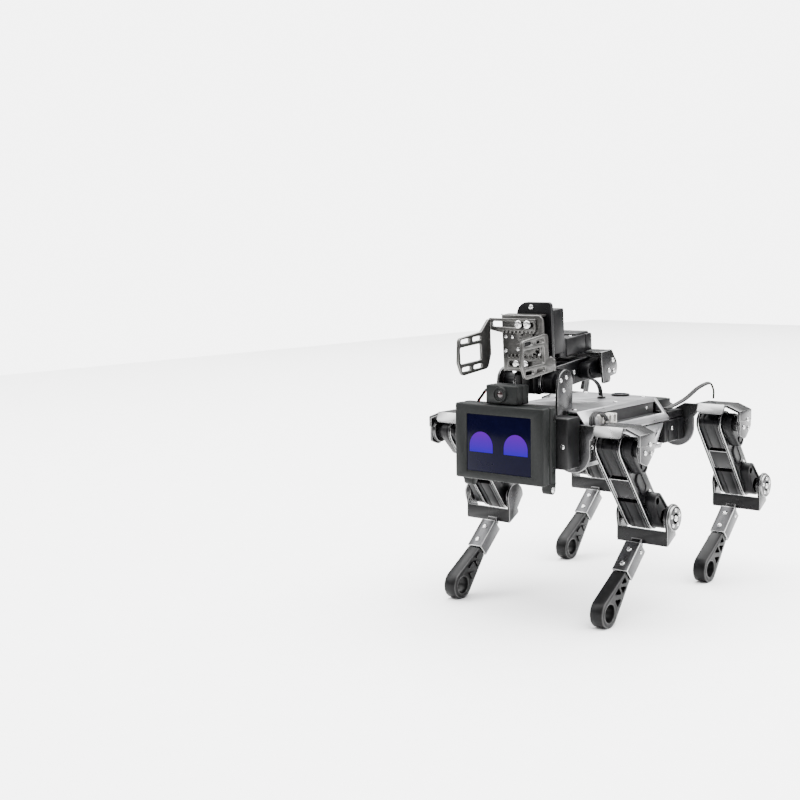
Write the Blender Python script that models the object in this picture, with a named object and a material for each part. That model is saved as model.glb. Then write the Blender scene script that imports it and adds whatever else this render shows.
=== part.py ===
"""Four-legged robot dog with a folded three-servo arm, as an assembly of separate parts.

The robot faces -Y, its left side is +X, and it stands on z = 0. Driving dimensions are in
millimetres; MM turns them into Blender's metres where a shape is made. A leg is described once, as
the front left one, and an empty mirrors or shifts it to each corner.
"""

import math

import bmesh
import bpy
from mathutils import Matrix, Vector

MM = 0.001
GAP = 0.3  # between touching parts

# Chassis
WHEELBASE = 117.5
FOOTPRINT_CENTRE = 24.6  # from the leg-frame zero back to the middle of the whole robot
HULL_FRONT, HULL_REAR = -30.0, 57.0
HULL_TOP, HULL_BOTTOM = 112.0, 82.0
HULL_TOP_HALF, HULL_WAIST_HALF, HULL_BOTTOM_HALF = 25.0, 34.0, 29.0
WAIST_LOW, WAIST_HIGH = 97.5, 100.5
SHEET = 1.2
RECESS_FRONT, RECESS_REAR = -15.0, 54.0
RECESS_LEDGE = 103.1

# Hip
ROLL_X, ROLL_Z = 28.5, 92.0
FLANGE_FRONT, FLANGE_REAR = -41.2, -39.6
FLANGE_RADIUS = 11.3
PITCH = (-31.4, 95.4)  # y, z of the hip's pitch axis
HORN_PLATE = (67.0, 68.6)

# Thigh and knee
KNEE = (0.5, 54.0)
THIGH_HALF = 7.3
INNER_PLATE = (40.2, 41.8)
OUTER_PLATE = (54.2, 55.8)
SERVO_LENGTH, SERVO_THICK, SERVO_DEEP = 22.6, 12.4, 24.0
SHAFT_INSET = 6.2
KNEE_PLATES = ((35.9, 37.4), (65.3, 66.9))

# Shin
FOOT = (-40.5, 8.0)
FOOT_RADIUS, FOOT_HOLE = 8.0, 4.8
FOOT_X = (44.2, 52.2)
SHIN_RISE = math.radians(41.5)
TUBE = (25.0, 44.5)
TUBE_X = (43.5, 52.9)
TUBE_HALF = 4.1

# Head
FACE, HEAD_BACK = -68.2, -55.2
HEAD_HALF, HEAD_LOW, HEAD_HIGH = 28.3, 77.0, 117.6
SCREEN_HALF, SCREEN_RISE, SCREEN_Z = 20.6, 15.5, 96.7

# Arm: the upper arm lies back over the deck and the forearm folds forward above it
SHOULDER = (-33.5, 127.5)
ELBOW = (14.0, 132.5)
FOREARM_DROOP = math.radians(4.0)
YOKE = (18.5, 20.0)
ARM_HALF = 6.6
ARM_PLATES = ((-9.6, -8.2), (6.6, 8.0))
PINION = (4.5, 152.7)  # x, z
PINION_TEETH, MODULE = 16, 0.8
PINION_PITCH = PINION_TEETH * MODULE / 2
RACK_FRONT, RACK_BACK = -45.2, -43.7
FINGER_INNER, FINGER_OUTER = 19.4, 20.9
FINGER_TIP = -75.8

parts = bpy.data.collections.new("quadruped_robot_dog")
helpers = bpy.data.collections.new("cutters")

# name: (colour, roughness, metallic)
FINISHES = {
    "black_plate": ((0.012, 0.012, 0.013), 0.3, 0.6),
    "black_plastic": ((0.015, 0.015, 0.016), 0.5, 0.0),
    "servo_case": ((0.05, 0.05, 0.052), 0.45, 0.1),
    "silver_sheet": ((0.62, 0.62, 0.64), 0.28, 1.0),
    "bracket_grey": ((0.2, 0.2, 0.205), 0.35, 0.8),
    "dark_panel": ((0.09, 0.09, 0.095), 0.4, 0.6),
    "gun_metal": ((0.2, 0.2, 0.2), 0.35, 0.9),
    "head_plastic": ((0.03, 0.032, 0.032), 0.55, 0.0),
    "screen_glass": ((0.01, 0.01, 0.05), 0.1, 0.0),
    "battery_wrap": ((0.03, 0.08, 0.25), 0.45, 0.0),
    "circuit_board": ((0.01, 0.12, 0.05), 0.5, 0.0),
    "lead_sleeve": ((0.01, 0.01, 0.01), 0.6, 0.0),
}


def clear_scene():
    for obj in list(bpy.data.objects):
        bpy.data.objects.remove(obj)
    for collection in (parts, helpers):
        bpy.context.scene.collection.children.link(collection)


# ---- outlines -------------------------------------------------------------------------------


def arc(centre, radius, start, end, steps=12):
    """Points on a circle from one angle to another, in degrees."""
    angles = [math.radians(start + (end - start) * i / steps) for i in range(steps + 1)]
    return [(centre[0] + radius * math.cos(a), centre[1] + radius * math.sin(a)) for a in angles]


def rounded(corners, steps=3):
    """An outline whose corners given as (u, v, radius) are filleted."""
    outline = []
    for i, corner in enumerate(corners):
        if len(corner) == 2:
            outline.append(corner)
            continue
        here = Vector(corner[:2])
        before = (Vector(corners[i - 1][:2]) - here).normalized()
        after = (Vector(corners[(i + 1) % len(corners)][:2]) - here).normalized()
        half = before.angle(after) / 2
        middle = here + (before + after).normalized() * corner[2] / math.sin(half)
        first = here + before * corner[2] / math.tan(half) - middle
        last = here + after * corner[2] / math.tan(half) - middle
        for step in range(steps + 1):
            spoke = first.lerp(last, step / steps).normalized() * corner[2]
            outline.append(tuple(middle + spoke))
    return outline


def capsule(a, b, radius, steps=7):
    """A slot shape around the line from a to b."""
    facing = math.degrees(math.atan2(b[1] - a[1], b[0] - a[0]))
    return arc(a, radius, facing + 90, facing + 270, steps) + arc(b, radius, facing - 90, facing + 90, steps)


def along(origin, rise, distance, across):
    """A point this far along a line that climbs at an angle, and this far to its left."""
    return (
        origin[0] + distance * math.cos(rise) - across * math.sin(rise),
        origin[1] + distance * math.sin(rise) + across * math.cos(rise),
    )


# ---- solids ---------------------------------------------------------------------------------

# Columns of the matrix that turns an outline's (u, v) and its thickness into the plane's axes.
PLANES = {
    "X": Matrix(((0, 0, 1), (1, 0, 0), (0, 1, 0))),  # outline in (y, z), thick along x
    "Y": Matrix(((1, 0, 0), (0, 0, -1), (0, 1, 0))),  # outline in (x, z), thick along y
    "Z": Matrix(((1, 0, 0), (0, 1, 0), (0, 0, 1))),  # outline in (x, y), thick along z
}


def helper(mesh):
    obj = bpy.data.objects.new("helper", mesh)
    obj.hide_render = True
    obj.display_type = "WIRE"
    helpers.objects.link(obj)
    return obj


def evaluated_mesh(obj, flat_faces=False):
    """The object's mesh as the viewport shows it, welded, and with each flat area as one face."""
    graph = bpy.context.evaluated_depsgraph_get()
    mesh = bpy.data.meshes.new_from_object(obj.evaluated_get(graph))
    shape = bmesh.new()
    shape.from_mesh(mesh)
    bmesh.ops.remove_doubles(shape, verts=shape.verts, dist=1e-7)
    if flat_faces:
        bmesh.ops.dissolve_limit(shape, angle_limit=1e-3, verts=shape.verts, edges=shape.edges)
    shape.to_mesh(mesh)
    shape.free()
    bpy.data.objects.remove(obj)
    return mesh


def plate(plane, low, high, outline, holes=()):
    """A flat plate between two levels, with this outline and these holes."""
    curve = bpy.data.curves.new("outline", "CURVE")
    curve.dimensions = "2D"
    curve.fill_mode = "BOTH"
    curve.extrude = (high - low) * MM / 2
    spline = curve.splines.new("POLY")
    spline.points.add(len(outline) - 1)
    for point, (u, v) in zip(spline.points, outline):
        point.co = (u * MM, v * MM, 0, 1)
    spline.use_cyclic_u = True
    mesh = evaluated_mesh(helper(curve), flat_faces=True)
    place = PLANES[plane].to_4x4()
    place.translation["XYZ".index(plane)] = (low + high) * MM / 2
    mesh.transform(place)
    if holes:
        mesh = joined(mesh, cut=[plate(plane, low - 1, high + 1, hole) for hole in holes])
    return mesh


def box(low, high, round_edges=0.0):
    shape = bmesh.new()
    bmesh.ops.create_cube(shape, size=1)
    size = [(b - a) * MM for a, b in zip(low, high)]
    middle = [(a + b) * MM / 2 for a, b in zip(low, high)]
    bmesh.ops.scale(shape, vec=size, verts=shape.verts)
    bmesh.ops.translate(shape, vec=middle, verts=shape.verts)
    if round_edges:
        bmesh.ops.bevel(
            shape, geom=shape.edges[:], offset=round_edges * MM, segments=2, profile=0.5, affect="EDGES"
        )
    mesh = bpy.data.meshes.new("box")
    shape.to_mesh(mesh)
    shape.free()
    return mesh


def cylinder(plane, centre, radius, low, high, sides=16):
    shape = bmesh.new()
    bmesh.ops.create_cone(
        shape, cap_ends=True, segments=sides, radius1=radius * MM, radius2=radius * MM, depth=(high - low) * MM
    )
    mesh = bpy.data.meshes.new("cylinder")
    shape.to_mesh(mesh)
    shape.free()
    local = Matrix.Translation((centre[0] * MM, centre[1] * MM, 0))
    place = PLANES[plane].to_4x4()
    place.translation["XYZ".index(plane)] = (low + high) * MM / 2
    mesh.transform(place @ local)
    return mesh


def joined(base, add=(), cut=(), solver="EXACT"):
    """One closed mesh: the base with some meshes united and others cut out."""
    body = helper(base)
    tools = []
    for operation, meshes in (("UNION", add), ("DIFFERENCE", cut)):
        for mesh in meshes:
            tools.append(helper(mesh))
            modifier = body.modifiers.new(operation.lower(), "BOOLEAN")
            modifier.operation = operation
            modifier.solver = solver
            modifier.object = tools[-1]
    mesh = evaluated_mesh(body)
    for tool in tools:
        bpy.data.objects.remove(tool)
    return mesh


def tube(points, radius):
    """A round lead through hand-placed points, smoothed so that it bends as wire does."""
    curve = bpy.data.curves.new("lead", "CURVE")
    curve.dimensions = "3D"
    curve.bevel_depth = radius * MM
    curve.bevel_resolution = 2
    curve.use_fill_caps = True
    spline = curve.splines.new("POLY")
    route = smooth_route([Vector(p) for p in points])
    spline.points.add(len(route) - 1)
    for point, place in zip(spline.points, route):
        point.co = (*(place * MM), 1)
    return evaluated_mesh(helper(curve))


def smooth_route(knots, steps=4):
    """Catmull-Rom through the knots."""
    ends = [2 * knots[0] - knots[1], *knots, 2 * knots[-1] - knots[-2]]
    route = []
    for i in range(1, len(ends) - 2):
        a, b, c, d = ends[i - 1 : i + 3]
        for step in range(steps):
            t = step / steps
            bend = (2 * a - 5 * b + 4 * c - d) * t * t + (3 * b - a - 3 * c + d) * t**3
            route.append((2 * b + (c - a) * t + bend) / 2)
    return [*route, knots[-1]]


# ---- nodes ----------------------------------------------------------------------------------


def empty(name, pivot, parent=None, parent_pivot=(0, 0, 0)):
    """An empty on a joint's axis; pivot and parent_pivot are in the same frame."""
    obj = bpy.data.objects.new(name, None)
    obj.empty_display_size = 0.01
    obj.location = (Vector(pivot) - Vector(parent_pivot)) * MM
    obj.parent = parent
    parts.objects.link(obj)
    return obj


def node(name, mesh, finish, parent, pivot=(0, 0, 0)):
    """A named part whose mesh is drawn in its parent's frame, measured from the same zero as pivot."""
    obj = bpy.data.objects.new(name, mesh)
    obj.location = Vector(pivot) * -MM
    obj.parent = parent
    parts.objects.link(obj)
    colour, roughness, metallic = FINISHES[finish]
    material = bpy.data.materials.new(f"{name}_{finish}")
    material.use_nodes = True
    shader = material.node_tree.nodes["Principled BSDF"]
    shader.inputs["Base Color"].default_value = (*colour, 1)
    shader.inputs["Roughness"].default_value = roughness
    shader.inputs["Metallic"].default_value = metallic
    if not mesh.materials:
        mesh.materials.append(material)
    obj.material_slots[0].link = "OBJECT"
    obj.material_slots[0].material = material
    return obj


# ---- legs -----------------------------------------------------------------------------------


def roll_servo():
    """Lies along Y with its shaft facing the hip bracket's flange, here in front of its case."""
    start = FLANGE_REAR + 0.7
    inner = ROLL_X + SHAFT_INSET - SERVO_LENGTH - 0.7
    case = box((inner, start, ROLL_Z - 6.5), (ROLL_X + 5.5, start + SERVO_DEEP, ROLL_Z + 6.5))
    boss = cylinder("Y", (ROLL_X, ROLL_Z), 4.4, start - 0.4, start + 1)
    return joined(case, add=[boss])


def rear_roll_servo():
    """The same servo turned round, so that its case lies on the flange's other side."""
    mesh = roll_servo()
    middle = (FLANGE_FRONT + FLANGE_REAR) / 2 * MM
    shape = bmesh.new()
    shape.from_mesh(mesh)
    bmesh.ops.scale(shape, vec=(1, -1, 1), verts=shape.verts)
    bmesh.ops.translate(shape, vec=(0, 2 * middle, 0), verts=shape.verts)
    bmesh.ops.reverse_faces(shape, faces=shape.faces)
    shape.to_mesh(mesh)
    shape.free()
    return mesh


def hip_bracket():
    """Folded sheet: roll flange and lip in front, a top, a bevel and the horn plate outside."""
    lobe = arc((ROLL_X, ROLL_Z), FLANGE_RADIUS, 140, 360, 12)
    lip = rounded([(39.8, 99.0), (42.5, 101.5, 2), (60.0, 101.5, 2.6), (60.0, 107.2), (33.5, 107.2)])
    front = plate("Y", FLANGE_FRONT, FLANGE_REAR, lobe + lip)
    top = box((41.0, FLANGE_FRONT + 0.4, 105.6), (60.0, -24.0, 107.2))
    bend = [
        (59.0, 107.2), (60.4, 107.2), (68.6, 103.9), (68.6, 98.0),
        (67.0, 98.0), (67.0, 102.9), (60.0, 105.6), (59.0, 105.6),
    ]
    side = plate("Y", FLANGE_REAR - 0.4, -24.0, bend)
    horn_outline = rounded(
        [(-24.2, 102.5), (-39.2, 102.5), (-39.2, 89.5, 1.5), (-31.5, 86.6, 4), (-24.2, 94.0, 1.5)]
    )
    horn_plate = plate("X", HORN_PLATE[0] + 0.1, HORN_PLATE[1] - 0.1, horn_outline)
    horn = cylinder("X", PITCH, 7.0, HORN_PLATE[0] - 1.5, HORN_PLATE[0] + 0.5, 20)
    return joined(front, add=[top, side, horn_plate, horn])


def thigh_point(distance, across):
    rise = math.atan2(KNEE[1] - PITCH[1], KNEE[0] - PITCH[0])
    return along(PITCH, rise, distance, across)


THIGH = math.dist(PITCH, KNEE)


def thigh_frame():
    """Two long plates held apart by a spacer block, with the knee's idler boss inside."""
    outline = capsule(PITCH, KNEE, THIGH_HALF)
    inner = plate("X", *INNER_PLATE, outline)
    outer = plate("X", *OUTER_PLATE, outline)
    block = [thigh_point(19, -6), thigh_point(33.5, -6), thigh_point(33.5, 6), thigh_point(19, 6)]
    spacer = plate("X", INNER_PLATE[0] + 0.5, OUTER_PLATE[1] - 0.5, block)
    idler = cylinder("X", KNEE, 4, KNEE_PLATES[0][1] + GAP, INNER_PLATE[0] + 0.5)
    holes = [cylinder("X", axis, 5, OUTER_PLATE[0] - 1, OUTER_PLATE[1] + 1) for axis in (PITCH, KNEE)]
    return joined(inner, add=[outer, spacer, idler], cut=holes)


def servo_outline(axis, rise, reach):
    """Case outline around a shaft, its near corners cut so that they clear a bracket that turns there."""
    half, cut = SERVO_THICK / 2, 4.4
    ends = ((-half, -cut), (-cut, -half), (reach, -half), (reach, half), (-cut, half), (-half, cut))
    return [along(axis, rise, *corner) for corner in ends]


def leg_servo(axis, towards, boss_end):
    """A servo whose case fills the space between the thigh plates, and whose gearbox stands outside."""
    rise = math.atan2(towards[1] - axis[1], towards[0] - axis[0])
    half = SERVO_THICK / 2

    case = plate(
        "X", INNER_PLATE[1] + GAP, OUTER_PLATE[0] - GAP, servo_outline(axis, rise, 16.0)
    )
    gearbox = plate(
        "X", OUTER_PLATE[1] + GAP, OUTER_PLATE[1] + 6.2, capsule(axis, along(axis, rise, 11, 0), half)
    )
    neck = cylinder("X", axis, 4.6, OUTER_PLATE[0] - 1, OUTER_PLATE[1] + 1)
    boss = cylinder("X", axis, 4.4, OUTER_PLATE[1] + 6, boss_end)
    return joined(case, add=[neck, gearbox, boss])


def knee_bracket():
    """A U of two plates and a front web, with a horn disc on each side and a tongue for the shin."""
    cheek = arc(KNEE, 7.8, 0, 180, 12) + rounded([(-6.0, 47.6), (-6.0, 38.9, 1), (7.3, 46.2, 1.5)])
    inner, outer = (plate("X", low, high, cheek) for low, high in KNEE_PLATES)
    web_x = (KNEE_PLATES[0][0] + 0.4, KNEE_PLATES[1][1] - 0.4)
    web = box((web_x[0], -6.0, 39.2), (web_x[1], -4.7, 47.4))
    horn = cylinder("X", KNEE, 6.8, KNEE_PLATES[1][0] - 1.2, KNEE_PLATES[1][1] + 1.3)
    tongue = [along(FOOT, SHIN_RISE, *p) for p in ((38.5, -2.2), (47.4, -2.2), (48.6, 2.2), (38.5, 2.2))]
    return joined(inner, add=[outer, web, horn, plate("X", 45.3, 51.1, tongue)])


def shin_tube():
    corners = [(TUBE[0], -TUBE_HALF), (TUBE[1], -TUBE_HALF), (TUBE[1], TUBE_HALF), (TUBE[0], TUBE_HALF)]
    outer = plate("X", *TUBE_X, [along(FOOT, SHIN_RISE, *p) for p in corners])
    inside = [(TUBE[0] - 2, -2.9), (TUBE[1] + 2, -2.9), (TUBE[1] + 2, 2.9), (TUBE[0] - 2, 2.9)]
    hollow = plate("X", TUBE_X[0] + 1.1, TUBE_X[1] - 1.1, [along(FOOT, SHIN_RISE, *p) for p in inside])
    return joined(outer, cut=[hollow])


def foot():
    """Moulded leg end: a ring foot that tapers into a bar, and a tongue that plugs into the shin tube."""
    rise, lean = math.degrees(SHIN_RISE), 79.0
    sole = arc(FOOT, FOOT_RADIUS, rise + lean, rise + 360 - lean, 18)
    shaft = [along(FOOT, SHIN_RISE, *p) for p in ((23.0, -3.9), (24.6, -3.7), (24.6, 3.8), (23.0, 3.9))]
    bar = plate("X", *FOOT_X, sole + shaft, [arc(FOOT, FOOT_HOLE, 0, 342, 19)])
    plug = [(23.5, -2.4), (33.0, -2.4), (33.0, 2.4), (23.5, 2.4)]
    tongue = plate("X", FOOT_X[0] + 0.9, FOOT_X[1] - 0.9, [along(FOOT, SHIN_RISE, *p) for p in plug])
    return joined(bar, add=[tongue])


def leg_shapes():
    return {
        "hip_bracket": hip_bracket(),
        "thigh_frame": thigh_frame(),
        "hip_servo": leg_servo(PITCH, KNEE, HORN_PLATE[0] - 1.5 - GAP),
        "knee_servo": leg_servo(KNEE, PITCH, KNEE_PLATES[1][0] - 1.2 - GAP),
        "knee_bracket": knee_bracket(),
        "shin_tube": shin_tube(),
        "foot": foot(),
    }


def build_leg(robot, corner, side, shift, roll_servo_mesh, shapes):
    """One leg: its empties stand on the roll, pitch and knee axes of the joints it moves on."""
    base = empty(f"{corner}_leg", (0, shift, 0), robot)
    base.scale.x = side
    roll_pivot = (ROLL_X, FLANGE_FRONT, ROLL_Z)
    pitch_pivot = (INNER_PLATE[0], *PITCH)
    knee_pivot = (INNER_PLATE[0], *KNEE)
    roll = empty(f"{corner}_roll_axis", roll_pivot, base)
    pitch = empty(f"{corner}_pitch_axis", pitch_pivot, roll, roll_pivot)
    knee = empty(f"{corner}_knee_axis", knee_pivot, pitch, pitch_pivot)
    node(f"{corner}_roll_servo", roll_servo_mesh, "servo_case", base)
    node(f"{corner}_hip_bracket", shapes["hip_bracket"], "bracket_grey", roll, roll_pivot)
    node(f"{corner}_thigh_frame", shapes["thigh_frame"], "black_plate", pitch, pitch_pivot)
    node(f"{corner}_hip_servo", shapes["hip_servo"], "servo_case", pitch, pitch_pivot)
    node(f"{corner}_knee_servo", shapes["knee_servo"], "servo_case", pitch, pitch_pivot)
    node(f"{corner}_knee_bracket", shapes["knee_bracket"], "bracket_grey", knee, knee_pivot)
    node(f"{corner}_shin_tube", shapes["shin_tube"], "silver_sheet", knee, knee_pivot)
    node(f"{corner}_foot", shapes["foot"], "black_plastic", knee, knee_pivot)


# ---- torso ----------------------------------------------------------------------------------


def hull_side(level, offset=0.0):
    """Half-width of the hull's sloping upper side at a height."""
    slope = (HULL_WAIST_HALF - HULL_TOP_HALF) / (HULL_TOP - WAIST_HIGH)
    return HULL_TOP_HALF + (HULL_TOP - level) * slope + offset


def channel(profile):
    """A folded sheet along the hull: the profile and its offset copy make one closed outline."""
    mirrored = [(-x, z) for x, z in reversed(profile)]
    line = [Vector((x, z)) for x, z in profile + mirrored]
    inner = []
    for i, point in enumerate(line):
        before = line[i] - line[i - 1] if i else line[1] - line[0]
        after = line[i + 1] - line[i] if i + 1 < len(line) else before
        normal = (before.normalized() + after.normalized()).normalized().orthogonal()
        inner.append(point + normal * SHEET / normal.dot(after.normalized().orthogonal()))
    return [tuple(p) for p in line] + [tuple(p) for p in reversed(inner)]


def upper_shell():
    profile = [(HULL_WAIST_HALF, 98.8), (HULL_WAIST_HALF, WAIST_HIGH), (HULL_TOP_HALF, HULL_TOP)]
    shell = plate("Y", HULL_FRONT, HULL_REAR, channel(profile))
    cuts = [
        box((25.6, RECESS_FRONT, RECESS_LEDGE), (40, RECESS_REAR, 111.4)),
        box((-40, RECESS_FRONT, RECESS_LEDGE), (-25.6, RECESS_REAR, 111.4)),
    ]
    return joined(shell, cut=cuts)


def lower_shell():
    """Open channel with a corner notched at each end where a roll servo passes through."""
    profile = [(-HULL_WAIST_HALF, 97.8), (-HULL_BOTTOM_HALF, HULL_BOTTOM)]
    shell = plate("Y", HULL_FRONT, HULL_REAR, channel(profile))
    reach = SERVO_DEEP + 1.2
    front_end = FLANGE_REAR + 0.7 + reach
    rear_end = WHEELBASE + FLANGE_FRONT - 0.7 - reach
    cuts = []
    for side in (-1, 1):
        low, high = sorted((side * 26.0, side * 40.0))
        cuts.append(box((low, HULL_FRONT - 1, 84.6), (high, front_end, 99.0)))
        cuts.append(box((low, rear_end, 84.6), (high, HULL_REAR + 1, 99.0)))
    return joined(shell, cut=cuts)


def side_panel(side):
    """Upright dark panel and the ledge in front of it, which close the recess in the hull's side."""
    wall_x = sorted((side * 24.0, side * 25.2))
    ledge_x = sorted((side * 24.4, side * (hull_side(RECESS_LEDGE) - 2.1)))
    wall = box((wall_x[0], RECESS_FRONT + GAP, 101.6), (wall_x[1], RECESS_REAR - GAP, 109.4))
    ledge = box((ledge_x[0], RECESS_FRONT + GAP, 101.6), (ledge_x[1], RECESS_REAR - GAP, 102.7))
    return joined(wall, add=[ledge])


def battery_pack():
    """Two cylindrical cells side by side in one sleeve."""
    front, rear = -14.0, 50.8
    cells = [
        plate("Y", front, rear, arc((side * 9.6, 93.0), 9.4, 0, 345, 23)) for side in (-1, 1)
    ]
    sleeve = box((-9.6, front + 2, 84.2), (9.6, rear - 2, 101.4))
    return joined(cells[0], add=[cells[1], sleeve])


def control_board():
    board = box((-22.5, -11.0, 103.0), (22.5, 47.0, 104.6))
    module = box((-14.0, 4.0, 104.2), (14.0, 38.0, 107.2))
    sockets = [box((x, -10.4, 104.2), (x + 7.6, -5.4, 108.6)) for x in (-20.0, -9.0, 2.0, 13.0)]
    return joined(board, add=[module, *sockets])


def front_mount_block():
    """Carries the head and the arm, and ties them to the hull between the two roll servos."""
    face = box((-34.3, HEAD_BACK + GAP, 84.5), (34.3, -42.0, 111.6), 0.8)
    web = box((-9.8, -43.0, 86.0), (9.8, HULL_FRONT - GAP, 110.4))
    deck = box((-17.8, HEAD_BACK + GAP, 110.6), (17.8, HULL_FRONT - GAP, 112.2))
    return joined(face, add=[web, deck])


def rear_mount_block():
    """Ties the rear roll servos to the hull, with a wedge-shaped cover that overhangs their flanges."""
    start, end = HULL_REAR + GAP, WHEELBASE + FLANGE_FRONT - 0.7
    bridge = box((-33.0, start, 99.0), (33.0, end, 103.4))
    web = box((-9.8, start, 86.0), (9.8, end, 99.5))
    cover = plate("X", -HULL_TOP_HALF, HULL_TOP_HALF, [(start, 103.0), (end, 103.0), (end, 109.3), (start, 109.6)])
    overhang = [(end - 1, 103.9), (85.0, 103.9), (84.6, 104.9), (end - 0.1, 109.2), (end - 1, 109.2)]
    return joined(bridge, add=[web, cover, plate("X", -22.0, 22.0, overhang)])


# ---- head -----------------------------------------------------------------------------------


def head_bezel():
    """Front frame with a window and a deeper pocket for the display."""
    frame = box((-HEAD_HALF, FACE, HEAD_LOW), (HEAD_HALF, -61.6, HEAD_HIGH), 0.9)
    window = box(
        (-SCREEN_HALF, FACE - 1, SCREEN_Z - SCREEN_RISE), (SCREEN_HALF, -60, SCREEN_Z + SCREEN_RISE)
    )
    pocket = box((-25.5, FACE + 1.7, 79.8), (25.5, -60, 114.6))
    return joined(frame, cut=[window, pocket])


def head_cover():
    """Back shell, open towards the bezel, with a screw lug under each side."""
    shell = box((-HEAD_HALF, -61.3, HEAD_LOW), (HEAD_HALF, HEAD_BACK, HEAD_HIGH), 0.9)
    hollow = box((-26.3, -63.0, 79.0), (26.3, HEAD_BACK - 1.6, 115.6))
    outline = rounded([(-60.9, 78.0), (-60.9, 71.6, 2.4), (-55.7, 71.6, 2.4), (-55.7, 78.0)])
    lugs = [plate("X", *sorted((side * 22.5, side * 28.0)), outline) for side in (-1, 1)]
    return joined(shell, add=lugs, cut=[hollow])


def display_panel():
    return box((-24.4, FACE + 2.1, 81.0), (24.4, FACE + 4.6, 112.6), 0.3)


def camera_housing():
    """Small case on top of the head, its lens barrel standing out of the front."""
    case = box((-10.0, -65.2, HEAD_HIGH + GAP), (10.0, -53.5, 128.0), 0.7)
    barrel = cylinder("Y", (0, 123.3), 3.2, -66.6, -64.0)
    dish = cylinder("Y", (0, 123.3), 2.3, -67.6, -65.7)
    return joined(case, add=[barrel], cut=[dish])


# ---- arm ------------------------------------------------------------------------------------


def arm_base_bracket():
    """Yoke that stands on the front block, a cheek on each side of the shoulder."""
    foot_front, foot_rear = -41.4, HULL_FRONT - GAP - 0.2
    cheek = [(foot_front, 101.5), (foot_rear, 101.5), (foot_rear, 112.6), (-26.6, 112.6)]
    cheek += arc(SHOULDER, 7.4, 0, 180, 12)[1:-1] + [(foot_front, 124.0)]
    cheeks = [plate("X", *sorted((side * YOKE[0], side * YOKE[1])), cheek) for side in (-1, 1)]
    floor = box((-YOKE[1] + 0.4, foot_front + 0.2, 112.6), (YOKE[1] - 0.4, -27.0, 114.0))
    screws = [box((side * 15 - 3, -49.0, 112.6), (side * 15 + 3, -37.0, 114.0)) for side in (-1, 1)]
    return joined(cheeks[0], add=[floor, cheeks[1], *screws])


def arm_servo(axis, towards):
    """Servo between the arm plates, its gearbox and shaft boss reaching out to the left cheek."""
    rise = math.atan2(towards[1] - axis[1], towards[0] - axis[0])
    half = SERVO_THICK / 2
    outline = servo_outline(axis, rise, 16.0)
    case = plate("X", ARM_PLATES[0][1] + GAP, ARM_PLATES[1][0] - GAP, outline)
    neck = cylinder("X", axis, 4.6, ARM_PLATES[1][0] - 1, ARM_PLATES[1][1] + 1)
    gearbox = plate("X", ARM_PLATES[1][1] + GAP, 15.0, capsule(axis, along(axis, rise, 11, 0), half))
    boss = cylinder("X", axis, 4.4, 14.5, YOKE[0] - GAP)
    return joined(case, add=[neck, gearbox, boss])


def upper_arm_frame():
    """Two plates and a spacer block, with idler bosses out to the right cheeks."""
    outline = capsule(SHOULDER, ELBOW, ARM_HALF)
    right, left = (plate("X", low, high, outline) for low, high in ARM_PLATES)
    rise = math.atan2(ELBOW[1] - SHOULDER[1], ELBOW[0] - SHOULDER[0])
    corners = ((18, -5.8), (29.5, -5.8), (29.5, 5.8), (18, 5.8))
    block = [along(SHOULDER, rise, *corner) for corner in corners]
    spacer = plate("X", ARM_PLATES[0][0] + 0.4, ARM_PLATES[1][1] - 0.4, block)
    idlers = [cylinder("X", axis, 4, -YOKE[0] + GAP, ARM_PLATES[0][0] + 0.4) for axis in (SHOULDER, ELBOW)]
    holes = [cylinder("X", axis, 5, ARM_PLATES[1][0] - 1, ARM_PLATES[1][1] + 1) for axis in (SHOULDER, ELBOW)]
    return joined(right, add=[left, spacer, *idlers], cut=holes)


def elbow_bracket():
    """U over the elbow: two cheeks, a top that carries the gripper servo, and a front lip."""
    cheek = rounded([(3.9, 142.4), (3.9, 137.0, 1), (5.2, 124.3, 1.5), (15.0, 124.4, 2)])
    cheek += arc(ELBOW, 7.0, -40, 50, 8) + [(15.6, 142.4)]
    cheeks = [plate("X", *sorted((side * YOKE[0], side * YOKE[1])), cheek) for side in (-1, 1)]
    top = box((-YOKE[1] + 0.4, 4.1, 141.0), (YOKE[1] - 0.4, 15.4, 142.3))
    lip_outline = rounded([(-19.0, 142.0), (-19.0, 139.4, 1), (19.0, 139.4, 1), (19.0, 142.0)])
    return joined(top, add=[*cheeks, plate("Y", 4.0, 5.3, lip_outline)])


def gripper_servo():
    """Lies on the elbow bracket, its output facing the gripper plate."""
    case = box((-12.5, -23.6, 142.8), (10.5, 10.0, 152.4), 0.5)
    lid = box((-11.0, -5.0, 152.0), (9.0, 9.0, 153.5), 0.4)
    head = box((-8.0, -33.6, 146.0), (13.6, -23.0, 170.0), 0.5)
    shaft = cylinder("Y", PINION, 2.6, -46.2, -33.0, 16)
    return joined(case, add=[lid, head, shaft])


def gripper_back_plate():
    outline = rounded(
        [(-8.4, 139.0, 1), (14.0, 139.0, 1), (14.0, 174.4, 2), (-8.4, 174.4, 7)], steps=5
    )
    return plate("Y", -36.0, -34.0, outline, [arc(PINION, 3.2, 0, 337.5, 15)])


def gripper_base_plate():
    """Front plate of the gripper with folded top and bottom flanges and an opening at the pinion."""
    outline = rounded([(-13.2, 137.6, 1), (13.2, 137.6, 1), (13.2, 168.2, 3), (-13.2, 168.2, 1)])
    face = plate("Y", RACK_BACK + GAP, RACK_BACK + 1.6, outline, [arc(PINION, 5.0, 0, 342, 19)])
    flanges = [
        box((-13.2, RACK_BACK + 0.6, 167.2), (11.0, -36.3, 168.2)),
        box((-13.2, RACK_BACK + 0.6, 137.6), (13.2, -36.3, 138.8)),
    ]
    return joined(face, add=flanges)


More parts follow.
